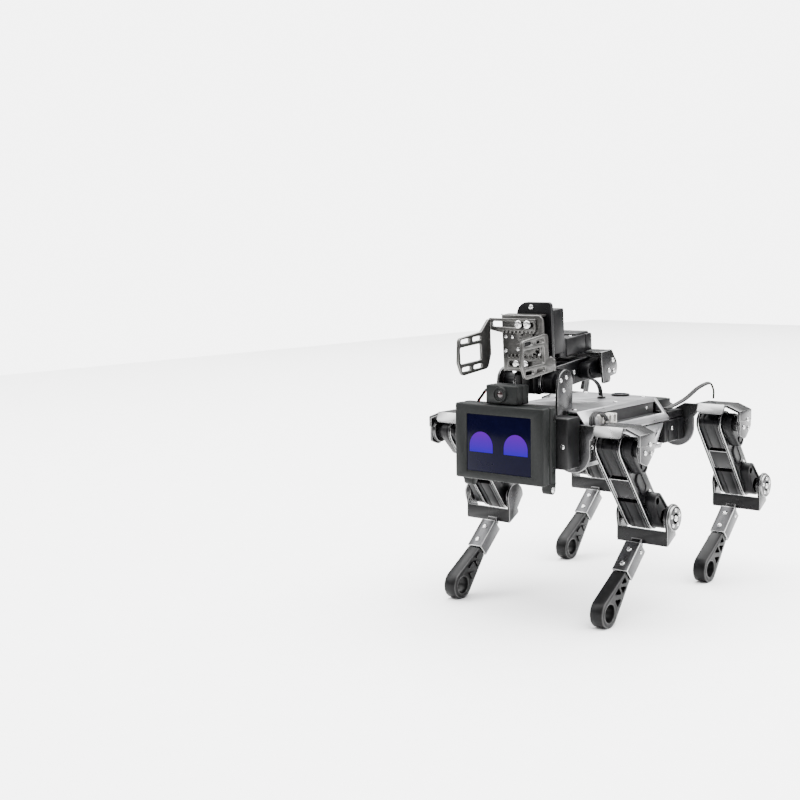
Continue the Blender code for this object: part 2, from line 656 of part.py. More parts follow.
def tooth_profile(teeth):
    """Straight-flanked teeth around the pinion, one tooth centred on +Z where it meets a rack."""
    step = 2 * math.pi / teeth
    root, tip = PINION_PITCH - 0.95, PINION_PITCH + 0.7
    outline = []
    for i in range(teeth):
        middle = math.pi / 2 - i * step
        for radius, share in ((root, -0.25), (tip, -0.08), (tip, 0.08), (root, 0.25)):
            angle = middle - share * step
            outline.append((PINION[0] + radius * math.cos(angle), PINION[1] + radius * math.sin(angle)))
    return outline[::-1]


def pinion():
    bore = arc(PINION, 2.9, 0, 337.5, 15)
    return plate("Y", RACK_FRONT, RACK_BACK, tooth_profile(PINION_TEETH), [bore])


def rack_edge(side, start, end):
    """Points of a toothed edge from start to end along X, its gaps lined up with the pinion's tooth."""
    pitch = math.pi * MODULE
    level = PINION[1] + side * PINION_PITCH
    count = math.floor((end - start) / pitch)
    first = PINION[0] - math.floor((PINION[0] - start) / pitch) * pitch
    points = []
    for i in range(count):
        middle = first + i * pitch
        for offset, depth in ((-0.33, -0.7), (-0.16, 0.95), (0.16, 0.95), (0.33, -0.7)):
            points.append((middle + offset * pitch, level + side * depth))
    return points


def finger(side):
    """A slotted slider with rack teeth, bent forward into an open finger plate.

    side +1 is the robot's left finger on the lower slider; -1 is the right one on the upper slider.
    """
    level = -side  # the lower slider carries the left finger
    low, high = (159.0, 166.4) if level > 0 else (139.2, 146.4)
    reach = -side * 9.5  # the far end of the slider
    start, end = sorted((side * (FINGER_OUTER - 0.3), reach))
    teeth = rack_edge(level, max(start, -12.5), min(end, 18.6))
    if level > 0:
        bar = teeth + [(end, low + 1.3), (end, high), (start, high), (start, low + 1.3)]
        slot_z = 163.3
    else:
        bar = teeth + [(end, high - 1.3), (end, low), (start, low), (start, high - 1.3)]
        slot_z = 142.0
    slot_ends = sorted((side * 17.2, reach + side * 2.4))
    slot = capsule((slot_ends[0], slot_z), (slot_ends[1], slot_z), 1.5, 5)
    slot_cutter = plate("Y", RACK_FRONT - 1, RACK_BACK + 1, slot)
    slider = joined(plate("Y", RACK_FRONT, RACK_BACK, bar), cut=[slot_cutter], solver="MANIFOLD")
    plate_x = sorted((side * FINGER_INNER, side * FINGER_OUTER))
    blade = rounded(
        [(-49.0, 139.4, 3), (FINGER_TIP + 3, 138.6, 3), (FINGER_TIP, 146.0, 2), (FINGER_TIP + 1.5, 158.8, 2),
         (-54.0, 160.0, 2), (-47.0, 165.9, 2), (RACK_FRONT - 0.4, 165.9), (RACK_FRONT - 0.4, 146.9)]
    )
    if level < 0:
        blade = rounded(
            [(-47.0, 139.4, 1), (FINGER_TIP + 3, 138.6, 3), (FINGER_TIP, 146.0, 2),
             (FINGER_TIP + 1.5, 158.8, 2), (-50.5, 160.0, 2), (-50.5, 147.4, 1), (RACK_FRONT - 0.4, 146.2)]
        )
    window = rounded([(-73.6, 144.8, 1), (-54.5, 144.8, 1), (-54.5, 153.8, 1), (-73.6, 153.8, 1)], 2)
    slots = [
        rounded([(y, z, 0.9), (y + 8, z, 0.9), (y + 8, z + 2.4, 0.9), (y, z + 2.4, 0.9)], 2)
        for y in (-72.6, -62.2)
        for z in (140.6, 155.6)
    ]
    sheet = plate("X", *plate_x, blade, [window, *slots])
    bend_x = (plate_x[0] + 0.1, plate_x[1] - 0.1)
    bend_z = (160.2, 165.6) if level > 0 else (139.8, 145.2)
    bend = box((bend_x[0], RACK_FRONT - 1.0, bend_z[0]), (bend_x[1], RACK_BACK - 0.2, bend_z[1]))
    return joined(slider, add=[sheet, bend])


# ---- leads ----------------------------------------------------------------------------------

LEAD_RADIUS = 1.1
FRONT_LEAD = [(30.5, -8.5, 105.4), (32.0, -14.0, 108.6), (33.8, -20.5, 111.1), (34.6, -26.7, 111.8),
              (36.2, -33.0, 110.2), (37.8, -35.6, 106.4), (38.2, -34.8, 102.4), (38.9, -33.4, 99.8)]
REAR_LEAD = [(30.0, 58.8, 104.8), (30.8, 66.0, 105.6), (34.5, 76.0, 109.4), (38.5, 84.5, 115.4),
             (42.5, 91.0, 118.0), (45.0, 91.5, 114.0), (45.6, 90.5, 108.9)]
ARM_LEAD = [(3.0, 18.0, 124.9), (3.6, 24.0, 123.0), (3.6, 29.0, 118.8), (3.0, 31.6, 113.6)]


def build_leads(robot):
    for corner, side, route in (
        ("front_left", 1, FRONT_LEAD), ("front_right", -1, FRONT_LEAD),
        ("rear_left", 1, REAR_LEAD), ("rear_right", -1, REAR_LEAD),
    ):
        points = [(side * x, y, z) for x, y, z in route]
        node(f"{corner}_servo_lead", tube(points, LEAD_RADIUS), "lead_sleeve", robot)
    node("arm_servo_lead", tube(ARM_LEAD, LEAD_RADIUS), "lead_sleeve", robot)


# ---- assembly -------------------------------------------------------------------------------


def build_torso(robot):
    node("torso_upper_shell", upper_shell(), "silver_sheet", robot)
    node("torso_lower_shell", lower_shell(), "silver_sheet", robot)
    node("torso_side_panel_left", side_panel(1), "dark_panel", robot)
    node("torso_side_panel_right", side_panel(-1), "dark_panel", robot)
    node("battery_pack", battery_pack(), "battery_wrap", robot)
    node("control_board", control_board(), "circuit_board", robot)
    node("front_mount_block", front_mount_block(), "black_plastic", robot)
    node("rear_mount_block", rear_mount_block(), "black_plastic", robot)


def build_head(robot):
    node("head_bezel", head_bezel(), "head_plastic", robot)
    node("head_cover", head_cover(), "head_plastic", robot)
    node("display_panel", display_panel(), "screen_glass", robot)
    node("camera_housing", camera_housing(), "head_plastic", robot)


def build_arm(robot):
    node("arm_base_bracket", arm_base_bracket(), "dark_panel", robot)
    shoulder_pivot = (0, *SHOULDER)
    elbow_pivot = (0, *ELBOW)
    pinion_pivot = (PINION[0], RACK_BACK, PINION[1])
    shoulder = empty("shoulder_axis", shoulder_pivot, robot)
    node("upper_arm_frame", upper_arm_frame(), "black_plate", shoulder, shoulder_pivot)
    node("shoulder_servo", arm_servo(SHOULDER, ELBOW), "servo_case", shoulder, shoulder_pivot)
    node("elbow_servo", arm_servo(ELBOW, SHOULDER), "servo_case", shoulder, shoulder_pivot)
    elbow = empty("elbow_axis", elbow_pivot, shoulder, shoulder_pivot)
    elbow.rotation_euler.x = FOREARM_DROOP
    node("elbow_bracket", elbow_bracket(), "bracket_grey", elbow, elbow_pivot)
    node("gripper_servo", gripper_servo(), "servo_case", elbow, elbow_pivot)
    node("gripper_back_plate", gripper_back_plate(), "black_plate", elbow, elbow_pivot)
    node("gripper_base_plate", gripper_base_plate(), "gun_metal", elbow, elbow_pivot)
    turning = empty("pinion_axis", pinion_pivot, elbow, elbow_pivot)
    node("gripper_pinion", pinion(), "gun_metal", turning, pinion_pivot)
    node("gripper_finger_left", finger(1), "gun_metal", elbow, elbow_pivot)
    node("gripper_finger_right", finger(-1), "gun_metal", elbow, elbow_pivot)


def main():
    clear_scene()
    robot = empty("robot_origin", (0, -FOOTPRINT_CENTRE, 0))
    shapes = leg_shapes()
    servos = {"front": roll_servo(), "rear": rear_roll_servo()}
    for end, shift in (("front", 0.0), ("rear", WHEELBASE)):
        for hand, side in (("left", 1), ("right", -1)):
            build_leg(robot, f"{end}_{hand}", side, shift, servos[end], shapes)
    build_torso(robot)
    build_head(robot)
    build_arm(robot)
    build_leads(robot)


main()
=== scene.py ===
"""Finished looks of the four-legged robot dog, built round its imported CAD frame.

Shapes are drawn in millimetres from the CAD part's own zero, under the front legs, and moved
back by ROW_SHIFT into the row's frame. A leg is drawn once, as the front left one, and each corner
takes a shifted or mirrored copy. The robot faces -Y and its left side is +X.
"""

import math

import bmesh
import bpy
from mathutils import Matrix, Vector


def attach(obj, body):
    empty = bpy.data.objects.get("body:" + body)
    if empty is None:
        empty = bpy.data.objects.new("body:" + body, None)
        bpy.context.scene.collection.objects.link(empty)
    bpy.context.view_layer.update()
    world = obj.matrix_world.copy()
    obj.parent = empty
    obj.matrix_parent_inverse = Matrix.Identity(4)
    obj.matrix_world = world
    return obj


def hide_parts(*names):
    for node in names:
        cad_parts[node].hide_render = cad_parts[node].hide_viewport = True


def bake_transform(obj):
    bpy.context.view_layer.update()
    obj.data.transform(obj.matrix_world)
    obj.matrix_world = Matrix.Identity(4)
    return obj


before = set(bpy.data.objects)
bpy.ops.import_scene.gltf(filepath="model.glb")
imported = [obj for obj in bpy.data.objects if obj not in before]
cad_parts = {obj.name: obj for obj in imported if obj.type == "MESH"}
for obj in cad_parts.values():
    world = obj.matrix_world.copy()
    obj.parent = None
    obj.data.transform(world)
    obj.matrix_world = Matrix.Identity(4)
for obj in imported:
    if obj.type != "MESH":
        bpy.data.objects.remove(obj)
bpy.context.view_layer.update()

MM = 0.001
ROW_SHIFT = -24.6
WHEELBASE = 117.5
CORNERS = {
    "front_left": (1, 0.0),
    "front_right": (-1, 0.0),
    "rear_left": (1, WHEELBASE),
    "rear_right": (-1, WHEELBASE),
}
HANDS = {"left": 1, "right": -1}  # sign of x
WELD = 2e-6  # metres; closer points become one
FLAT = 2e-3  # radians; faces that differ by less become one
ROUNDED_EDGE = math.radians(32)  # edges sharper than this are rounded
SHARP_EDGE = math.radians(38)  # edges sharper than this stay crisp in the shading

# Leg axes and levels, as (y, z) or x, from the CAD part
ROLL_X, ROLL_Z = 28.5, 92.0
FLANGE_FRONT, FLANGE_REAR = -41.2, -39.6
HIP = (-31.4, 95.4)
KNEE = (0.5, 54.0)
FOOT = (-40.5, 8.0)
FOOT_X = (44.2, 52.2)
SHIN_RISE = math.radians(41.5)
THIGH_OUTSIDE = 55.8
SERVO_HALF = 6.2

# Body
HULL_TOP = 112.0
FACE = -68.2
SCREEN_HALF, SCREEN_RISE, SCREEN_Z = 20.6, 15.5, 96.7
CAMERA_Z = 123.3

# Arm
SHOULDER = (-33.5, 127.5)
ELBOW = (14.0, 132.5)
FOREARM_DROOP = math.radians(4.0)
GRIPPER_FACE = -43.4

# Routes of the leads, as in the CAD part, and of the camera's thinner wires
FRONT_LEAD = [(30.5, -8.5, 105.4), (32.0, -14.0, 108.6), (33.8, -20.5, 111.1), (34.6, -26.7, 111.8),
              (36.2, -33.0, 110.2), (37.8, -35.6, 106.4), (38.2, -34.8, 102.4), (38.9, -33.4, 99.8)]
REAR_LEAD = [(30.0, 58.8, 104.8), (30.8, 66.0, 105.6), (34.5, 76.0, 109.4), (38.5, 84.5, 115.4),
             (42.5, 91.0, 118.0), (45.0, 91.5, 114.0), (45.6, 90.5, 108.9)]
CAMERA_WIRE = [(-10.0, -58.0, 124.0), (-12.5, -57.8, 125.2), (-15.6, -57.6, 124.0),
               (-18.3, -57.8, 120.6), (-19.8, -58.2, 118.6), (-20.2, -58.6, 116.6)]
ARM_LEAD = [(3.0, 18.0, 124.9), (3.6, 24.0, 123.0), (3.6, 29.0, 118.8), (3.0, 31.6, 113.6)]


# ---- materials ------------------------------------------------------------------------------


def noise(tree, coordinates, scale):
    """A noise texture read along these coordinates, stretched to fill 0 to 1."""
    texture = tree.nodes.new("ShaderNodeTexNoise")
    texture.inputs["Scale"].default_value = scale
    texture.inputs["Detail"].default_value = 3.0
    tree.links.new(coordinates, texture.inputs["Vector"])
    spread = tree.nodes.new("ShaderNodeMapRange")
    spread.inputs["From Min"].default_value = 0.3
    spread.inputs["From Max"].default_value = 0.7
    tree.links.new(texture.outputs["Fac"], spread.inputs["Value"])
    return spread.outputs["Result"]


def surface(name, colour, roughness, metallic=0.0, grain=1500.0, stretch=(1, 1, 1), contrast=0.1,
            unevenness=0.06, bump=0.25, depth=0.00002, coat=0.0, specular=0.5):
    """Fine grain in the colour and the bump, with broad uneven patches in the roughness.

    grain is in cells per metre, stretch squeezes it along an axis as brushing does, and depth is the
    height of its relief in metres.
    """
    material = bpy.data.materials.new(name)
    material.use_nodes = True
    tree = material.node_tree
    shader = tree.nodes["Principled BSDF"]
    shader.inputs["Metallic"].default_value = metallic
    shader.inputs["Coat Weight"].default_value = coat
    shader.inputs["Specular IOR Level"].default_value = specular
    place = tree.nodes.new("ShaderNodeTexCoord")
    mapping = tree.nodes.new("ShaderNodeMapping")
    mapping.inputs["Scale"].default_value = stretch
    tree.links.new(place.outputs["Object"], mapping.inputs["Vector"])
    fine = noise(tree, mapping.outputs["Vector"], grain)
    broad = noise(tree, place.outputs["Object"], 90.0)

    tint = tree.nodes.new("ShaderNodeMix")
    tint.data_type = "RGBA"
    tint.inputs[6].default_value = (*[c * (1 - contrast) for c in colour], 1)
    tint.inputs[7].default_value = (*[min(1, c * (1 + contrast)) for c in colour], 1)
    tree.links.new(fine, tint.inputs["Factor"])
    tree.links.new(tint.outputs[2], shader.inputs["Base Color"])

    gloss = tree.nodes.new("ShaderNodeMapRange")
    gloss.inputs["To Min"].default_value = roughness - unevenness
    gloss.inputs["To Max"].default_value = roughness + unevenness
    tree.links.new(broad, gloss.inputs["Value"])
    tree.links.new(gloss.outputs["Result"], shader.inputs["Roughness"])

    relief = tree.nodes.new("ShaderNodeBump")
    relief.inputs["Strength"].default_value = bump
    relief.inputs["Distance"].default_value = depth
    tree.links.new(fine, relief.inputs["Height"])
    tree.links.new(relief.outputs["Normal"], shader.inputs["Normal"])
    return material


def glow(material, low, high, bottom, top, strength):
    """Adds light of its own to a surface, shading from one colour up to another between two heights."""
    tree = material.node_tree
    shader = tree.nodes["Principled BSDF"]
    shader.inputs["Emission Strength"].default_value = strength
    place = tree.nodes.new("ShaderNodeTexCoord")
    parts = tree.nodes.new("ShaderNodeSeparateXYZ")
    tree.links.new(place.outputs["Object"], parts.inputs["Vector"])
    rise = tree.nodes.new("ShaderNodeMapRange")
    rise.inputs["From Min"].default_value = low * MM
    rise.inputs["From Max"].default_value = high * MM
    tree.links.new(parts.outputs["Z"], rise.inputs["Value"])
    shade = tree.nodes.new("ShaderNodeMix")
    shade.data_type = "RGBA"
    shade.inputs[6].default_value = (*bottom, 1)
    shade.inputs[7].default_value = (*top, 1)
    tree.links.new(rise.outputs["Result"], shade.inputs["Factor"])
    tree.links.new(shade.outputs[2], shader.inputs["Emission Color"])
    return material


HULL_SILVER = surface("hull_silver", (0.3, 0.3, 0.31), 0.34, 0.8, 2600, (1, 0.03, 1), 0.07, depth=0.000008)
BRACKET = surface("bracket_coating", (0.03, 0.03, 0.031), 0.26, 0.85, 1800, contrast=0.15)
# Lighter copy of the bracket coating for the hip bracket's front tab: a painted reflection of the bright
# surroundings.
BRACKET_TAB_REFLECTION = surface("bracket_tab_painted_reflection", (0.3, 0.3, 0.3), 0.3, 0.85, 2400, contrast=0.12)
# Lighter colour for the brackets' rounded edges: a painted highlight.
BRACKET_HIGHLIGHT = surface("bracket_painted_highlight", (0.16, 0.16, 0.16), 0.3, 0.85, 2600, contrast=0.15)
TUBE_SILVER = surface("tube_silver", (0.05, 0.05, 0.052), 0.3, 0.85, 2600, (1, 0.06, 0.06), 0.15,
                      depth=0.000008)
BLACK_PLATE = surface("black_anodised", (0.0025, 0.0025, 0.003), 0.3, 0.0, 2200, contrast=0.3, specular=0.15)
# Lighter metal for the rounded edges of the black plates, hull sheets and shin tubes: a painted highlight.
EDGE_HIGHLIGHT = surface("edge_painted_highlight", (0.4, 0.4, 0.4), 0.32, 0.9, 3000, contrast=0.06, bump=0.03)
SERVO_BLACK = surface("servo_plastic", (0.0025, 0.0025, 0.003), 0.4, 0.0, 1400,
                      contrast=0.3, bump=0.4, specular=0.13)
FOOT_BLACK = surface("foot_plastic", (0.003, 0.003, 0.0032), 0.36, 0.0, 1100,
                     contrast=0.25, bump=0.4, specular=0.12)
# Lighter colour for the foot's rounded edges: a painted highlight.
FOOT_HIGHLIGHT = surface("foot_painted_highlight", (0.02, 0.02, 0.02), 0.35, 0.0, 1100, contrast=0.25, bump=0.45, specular=0.3)
BLOCK_BLACK = surface("block_plastic", (0.003, 0.003, 0.0033), 0.36, 0.0, 1300,
                      contrast=0.3, bump=0.4, specular=0.16)
HEAD_CHARCOAL = surface("head_plastic", (0.0055, 0.0062, 0.006), 0.46, 0.0, 1600,
                        contrast=0.25, bump=0.5, specular=0.12)
DARK_PANEL = surface("dark_panel", (0.028, 0.028, 0.029), 0.36, 0.6, 2200, (1, 0.1, 1), 0.15)
GRIPPER_METAL = surface("gripper_metal", (0.05, 0.049, 0.047), 0.36, 0.8, 2000, (0.15, 1, 1), 0.2)
# Lighter colour for the gripper parts' rounded edges: a painted highlight.
GRIPPER_HIGHLIGHT = surface("gripper_painted_highlight", (0.15, 0.147, 0.143), 0.32, 0.85, 2600, contrast=0.18)
STEEL = surface("screw_steel", (0.5, 0.5, 0.5), 0.24, 1.0, 3000, contrast=0.12)
DISC_STEEL = surface("disc_steel", (0.28, 0.28, 0.28), 0.3, 0.95, 3000, contrast=0.2)
WHITE_NYLON = surface("white_nylon", (0.5, 0.49, 0.47), 0.45, 0.0, 1500, contrast=0.05, specular=0.4)
SLEEVE = surface("wire_sleeve", (0.003, 0.003, 0.0033), 0.4, 0.0, 2500, contrast=0.3, specular=0.2)
RED_SLEEVE = surface("red_sleeve", (0.4, 0.008, 0.008), 0.42, 0.0, 2500, contrast=0.15)
BATTERY_WRAP = surface("battery_wrap", (0.02, 0.06, 0.22), 0.4, 0.0, 600, contrast=0.15, coat=0.2)
SOLDER_MASK = surface("solder_mask", (0.008, 0.08, 0.035), 0.4, 0.0, 900, contrast=0.2, coat=0.2)
# The lens glass's dark red base colour is a painted reddish glint.
LENS_GLINT = surface("lens_painted_glint", (0.008, 0.0006, 0.001), 0.06, 0.0, 400, contrast=0.3, unevenness=0.03,
                     bump=0.02, coat=0.3, specular=0.5)
SCREEN_GLASS = glow(
    surface("screen_glass", (0.0008, 0.0008, 0.004), 0.15, 0.0, 300, contrast=0.2, unevenness=0.04, bump=0.02,
            specular=0.04),
    80.0, 113.0, (0.0003, 0.0003, 0.014), (0.0002, 0.0002, 0.009), 1.0,
)
EYE_LIGHT = glow(
    surface("eye_light", (0.002, 0.0002, 0.01), 0.3, 0.0, 500, contrast=0.2, bump=0.02, specular=0.02),
    92.0, 103.0, (0.045, 0.0, 0.7), (0.19, 0.0, 0.62), 0.9,
)


# ---- outlines, in millimetres ---------------------------------------------------------------


def arc(centre, radius, start, end, steps=16):
    """Points on a circle from one angle to another, in degrees."""
    angles = [math.radians(start + (end - start) * i / steps) for i in range(steps + 1)]
    return [(centre[0] + radius * math.cos(a), centre[1] + radius * math.sin(a)) for a in angles]


def ring(centre, radius, sides=32):
    return arc(centre, radius, 0, 360 - 360 / sides, sides - 1)


def rounded(corners, steps=6):
    """An outline whose corners given as (u, v, radius) are filleted."""
    outline = []
    for i, corner in enumerate(corners):
        if len(corner) == 2:
            outline.append(corner)
            continue
        here = Vector(corner[:2])
        before = (Vector(corners[i - 1][:2]) - here).normalized()
        after = (Vector(corners[(i + 1) % len(corners)][:2]) - here).normalized()
        half = before.angle(after) / 2
        middle = here + (before + after).normalized() * corner[2] / math.sin(half)
        first = here + before * corner[2] / math.tan(half) - middle
        last = here + after * corner[2] / math.tan(half) - middle
        for step in range(steps + 1):
            spoke = first.lerp(last, step / steps).normalized() * corner[2]
            outline.append(tuple(middle + spoke))
    return outline


def teardrop(a, b, radius_a, radius_b, steps=14):
    """The outline round two circles of unlike size; equal sizes make a capsule."""
    facing = math.degrees(math.atan2(b[1] - a[1], b[0] - a[0]))
    lean = math.degrees(math.acos((radius_a - radius_b) / math.dist(a, b)))
    return arc(a, radius_a, facing + lean, facing + 360 - lean, steps) + arc(
        b, radius_b, facing - lean, facing + lean, steps
    )


def along(origin, rise, distance, across):
    """A point this far along a line that climbs at an angle, and this far to its left."""
    return (
        origin[0] + distance * math.cos(rise) - across * math.sin(rise),
        origin[1] + distance * math.sin(rise) + across * math.cos(rise),
    )


def heading(start, end):
    return math.atan2(end[1] - start[1], end[0] - start[0])


# ---- solids ---------------------------------------------------------------------------------

PLANES = {
    "X": Matrix(((0, 0, 1), (1, 0, 0), (0, 1, 0))),  # outline in (y, z), thick along x
    "Y": Matrix(((1, 0, 0), (0, 0, -1), (0, 1, 0))),  # outline in (x, z), thick along y
    "Z": Matrix(((1, 0, 0), (0, 1, 0), (0, 0, 1))),  # outline in (x, y), thick along z
}


def linked(mesh):
    obj = bpy.data.objects.new("working", mesh)
    bpy.context.scene.collection.objects.link(obj)
    return obj


def evaluated(obj, merge_flats=True):
    """The object's final mesh, welded, with each flat area as one face; the object is used up."""
    graph = bpy.context.evaluated_depsgraph_get()
    mesh = bpy.data.meshes.new_from_object(obj.evaluated_get(graph))
    bpy.data.objects.remove(obj)
    tidy(mesh, merge_flats)
    return mesh


def tidy(mesh, merge_flats=True):
    shape = bmesh.new()
    shape.from_mesh(mesh)
    bmesh.ops.remove_doubles(shape, verts=shape.verts, dist=WELD)
    if merge_flats:
        bmesh.ops.dissolve_limit(
            shape, angle_limit=FLAT, verts=shape.verts, edges=shape.edges, delimit={"MATERIAL"}
        )
    shape.to_mesh(mesh)
    shape.free()


def plate(plane, low, high, outline, holes=()):
    """A flat plate between two levels, with this outline and these holes."""
    curve = bpy.data.curves.new("outline", "CURVE")
    curve.dimensions = "2D"
    curve.fill_mode = "BOTH"
    curve.extrude = (high - low) * MM / 2
    spline = curve.splines.new("POLY")
    spline.points.add(len(outline) - 1)
    for point, (u, v) in zip(spline.points, outline):
        point.co = (u * MM, v * MM, 0, 1)
    spline.use_cyclic_u = True
    mesh = evaluated(linked(curve))
    place = PLANES[plane].to_4x4()
    place.translation["XYZ".index(plane)] = (low + high) * MM / 2
    mesh.transform(place)
    if holes:
        mesh = joined(mesh, cut=[plate(plane, low - 1, high + 1, hole) for hole in holes])
    return mesh


def box(low, high):
    shape = bmesh.new()
    bmesh.ops.create_cube(shape, size=1)
    bmesh.ops.scale(shape, vec=[(b - a) * MM for a, b in zip(low, high)], verts=shape.verts)
    bmesh.ops.translate(shape, vec=[(a + b) * MM / 2 for a, b in zip(low, high)], verts=shape.verts)
    mesh = bpy.data.meshes.new("box")
    shape.to_mesh(mesh)
    shape.free()
    return mesh


def disc(plane, centre, radius, low, high, sides=40):
    return plate(plane, low, high, ring(centre, radius, sides))


def joined(base, add=(), cut=()):
    """One closed mesh: the base with some meshes united and others cut out."""
    body = linked(base)
    tools = []
    for operation, meshes in (("UNION", add), ("DIFFERENCE", cut)):
        for mesh in meshes:
            tools.append(linked(mesh))
            modifier = body.modifiers.new(operation.lower(), "BOOLEAN")
            modifier.operation = operation
            modifier.solver = "EXACT"
            modifier.object = tools[-1]
    mesh = evaluated(body)
    for tool in tools:
        bpy.data.objects.remove(tool)
    return mesh


def merged(meshes):
    """One mesh that holds several separate solids."""
    shape = bmesh.new()
    for mesh in meshes:
        shape.from_mesh(mesh)
    together = bpy.data.meshes.new("merged")
    shape.to_mesh(together)
    shape.free()
    return together


def turned(mesh, axis, degrees, pivot):
    """The mesh rotated about a line through a point given in millimetres."""
    centre = Vector(pivot) * MM
    spin = Matrix.Rotation(math.radians(degrees), 4, axis)
    mesh.transform(Matrix.Translation(centre) @ spin @ Matrix.Translation(-centre))
    return mesh


def edged(mesh, width=0.25, edge_slot=-1):
    """Rounds the sharp edges; edge_slot gives the rounding a material of its own."""
    for _ in range(2 - len(mesh.materials)):
        mesh.materials.append(None)
    tidy(mesh)
    obj = linked(mesh)
    modifier = obj.modifiers.new("edges", "BEVEL")
    modifier.width = width * MM
    modifier.segments = 2
    modifier.limit_method = "ANGLE"
    modifier.angle_limit = ROUNDED_EDGE
    modifier.use_clamp_overlap = False
    modifier.material = edge_slot
    return evaluated(obj, merge_flats=False)


def cad_mesh(node):
    """A copy of a CAD node's mesh, moved back to the drawing's zero."""
    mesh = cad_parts[node].data.copy()
    mesh.transform(Matrix.Translation((0, -ROW_SHIFT * MM, 0)))
    mesh.materials.clear()
    return mesh


def screw(centre, outward, radius=1.3, height=0.8):
    """Pan head with a cross recess, standing on a point and facing outward."""
    sides = 16
    shape = bmesh.new()
    rings = [(1.0, 0.0), (1.0, 0.42), (0.93, 0.68), (0.78, 0.88), (0.56, 1.0)]
    loops = []
    for share, rise in rings:
        loops.append([(radius * share, height * rise)] * sides)
    cross = [0.5 if i % 4 == 0 else 0.17 for i in range(sides)]
    loops.append([(radius * share, height) for share in cross])
    loops.append([(radius * share * 0.85, height * 0.35) for share in cross])
    corners = []
    for loop in loops:
        row = []
        for i, (reach, level) in enumerate(loop):
            angle = 2 * math.pi * i / sides
            spot = Vector((reach * math.cos(angle), reach * math.sin(angle), level))
            row.append(shape.verts.new(spot * MM))
        corners.append(row)
    for lower, upper in zip(corners, corners[1:]):
        for i in range(sides):
            j = (i + 1) % sides
            shape.faces.new((lower[i], lower[j], upper[j], upper[i]))
    shape.faces.new(corners[0][::-1])
    shape.faces.new(corners[-1])
    mesh = bpy.data.meshes.new("screw")
    shape.to_mesh(mesh)
    shape.free()
    spin = Vector((0, 0, 1)).rotation_difference(Vector(outward)).to_matrix().to_4x4()
    mesh.transform(Matrix.Translation(Vector(centre) * MM) @ spin)
    return mesh


def screws(centres, outward, radius=1.3, height=0.8):
    return merged([screw(centre, outward, radius, height) for centre in centres])


# ---- pieces ---------------------------------------------------------------------------------


def show(name, mesh, materials, body, nodes=(), place=Matrix()):
    """Puts a drawn mesh into the scene as a piece of that body, in place of these CAD nodes.

    The last material also fills any slots left over.
    """
    mesh = mesh.copy()
    mesh.transform(Matrix.Translation((0, ROW_SHIFT * MM, 0)) @ place)
    if place.determinant() < 0:
        mesh.flip_normals()
    for _ in range(len(materials) - len(mesh.materials)):
        mesh.materials.append(None)
    for i in range(len(mesh.materials)):
        mesh.materials[i] = materials[min(i, len(materials) - 1)]
    mesh.shade_smooth()
    mesh.set_sharp_from_angle(angle=SHARP_EDGE)
    obj = bpy.data.objects.new(name, mesh)
    bpy.context.scene.collection.objects.link(obj)
    if body:
        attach(obj, body)
    if nodes:
        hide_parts(*nodes)
    return obj


def fasten(name, mesh, body="robot", place=Matrix()):
    """Shows bright screws or pins."""
    show(name, mesh, [STEEL], body, (), place)


def mirrored(side):
    """The placing of a piece drawn on the left: side 1 leaves it there, and -1 flips it to the right."""
    return Matrix.Diagonal((side, 1, 1, 1))


def corner_place(corner):
    side, shift = CORNERS[corner]
    return Matrix.Translation((0, shift * MM, 0)) @ mirrored(side)


# ---- servos ---------------------------------------------------------------------------------


def layered(plane, levels, outline, core):
    """A moulded case in layers, with a narrow seam between each two that shows the core."""
    seam = 0.28
    inside = plate(plane, levels[0] + 0.4, levels[-1] - 0.4, core)
    layers = []
    for low, high in zip(levels, levels[1:]):
        bottom = low + (seam / 2 if low != levels[0] else 0)
        top = high - (seam / 2 if high != levels[-1] else 0)
        layers.append(edged(plate(plane, bottom, top, outline), 0.35))
    return joined(inside, add=layers)


def servo_outline(axis, rise, reach, inset=0.0):
    half, cut = SERVO_HALF - inset, 4.4 - inset
    ends = (
        (-half, -cut), (-cut, -half), (reach - inset, -half),
        (reach - inset, half), (-cut, half), (-half, cut),
    )
    return [along(axis, rise, *corner) for corner in ends]


def limb_servo(axis, towards, case_x, gearbox_x, boss_end):
    """A servo between two limb plates, its tapered gearbox cover outside the outer plate."""
    rise = heading(axis, towards)
    reach = 16.0
    third = (case_x[1] - case_x[0]) / 3
    levels = [case_x[0], case_x[0] + third * 0.8, case_x[1] - third * 0.7, case_x[1]]
    outline, core = servo_outline(axis, rise, reach), servo_outline(axis, rise, reach, 0.3)
    case = layered("X", levels, outline, core)
    tip = along(axis, rise, 12.6, 0)
    cover = edged(plate("X", *gearbox_x, teardrop(axis, tip, SERVO_HALF, 4.6)), 0.5)
    hollow = plate(
        "X", gearbox_x[1] - 0.7, gearbox_x[1] + 1, teardrop(axis, tip, SERVO_HALF - 1.3, 3.3)
    )
    groove_outline = teardrop(axis, tip, SERVO_HALF + 1, 5.6)
    groove_floor = teardrop(axis, tip, SERVO_HALF - 0.3, 4.3)
    groove = plate("X", gearbox_x[0] + 1.4, gearbox_x[0] + 1.7, groove_outline, [groove_floor])
    cover = joined(cover, cut=[hollow, groove])
    neck = disc("X", axis, 4.6, case_x[1] - 1, gearbox_x[0] + 1)
    boss = disc("X", axis, 4.4, gearbox_x[1] - 1.5, boss_end)
    pad = disc("X", tip, 1.9, gearbox_x[1] - 1.2, gearbox_x[1] - 0.1, 20)
    return joined(case, add=[neck, cover, boss, pad])


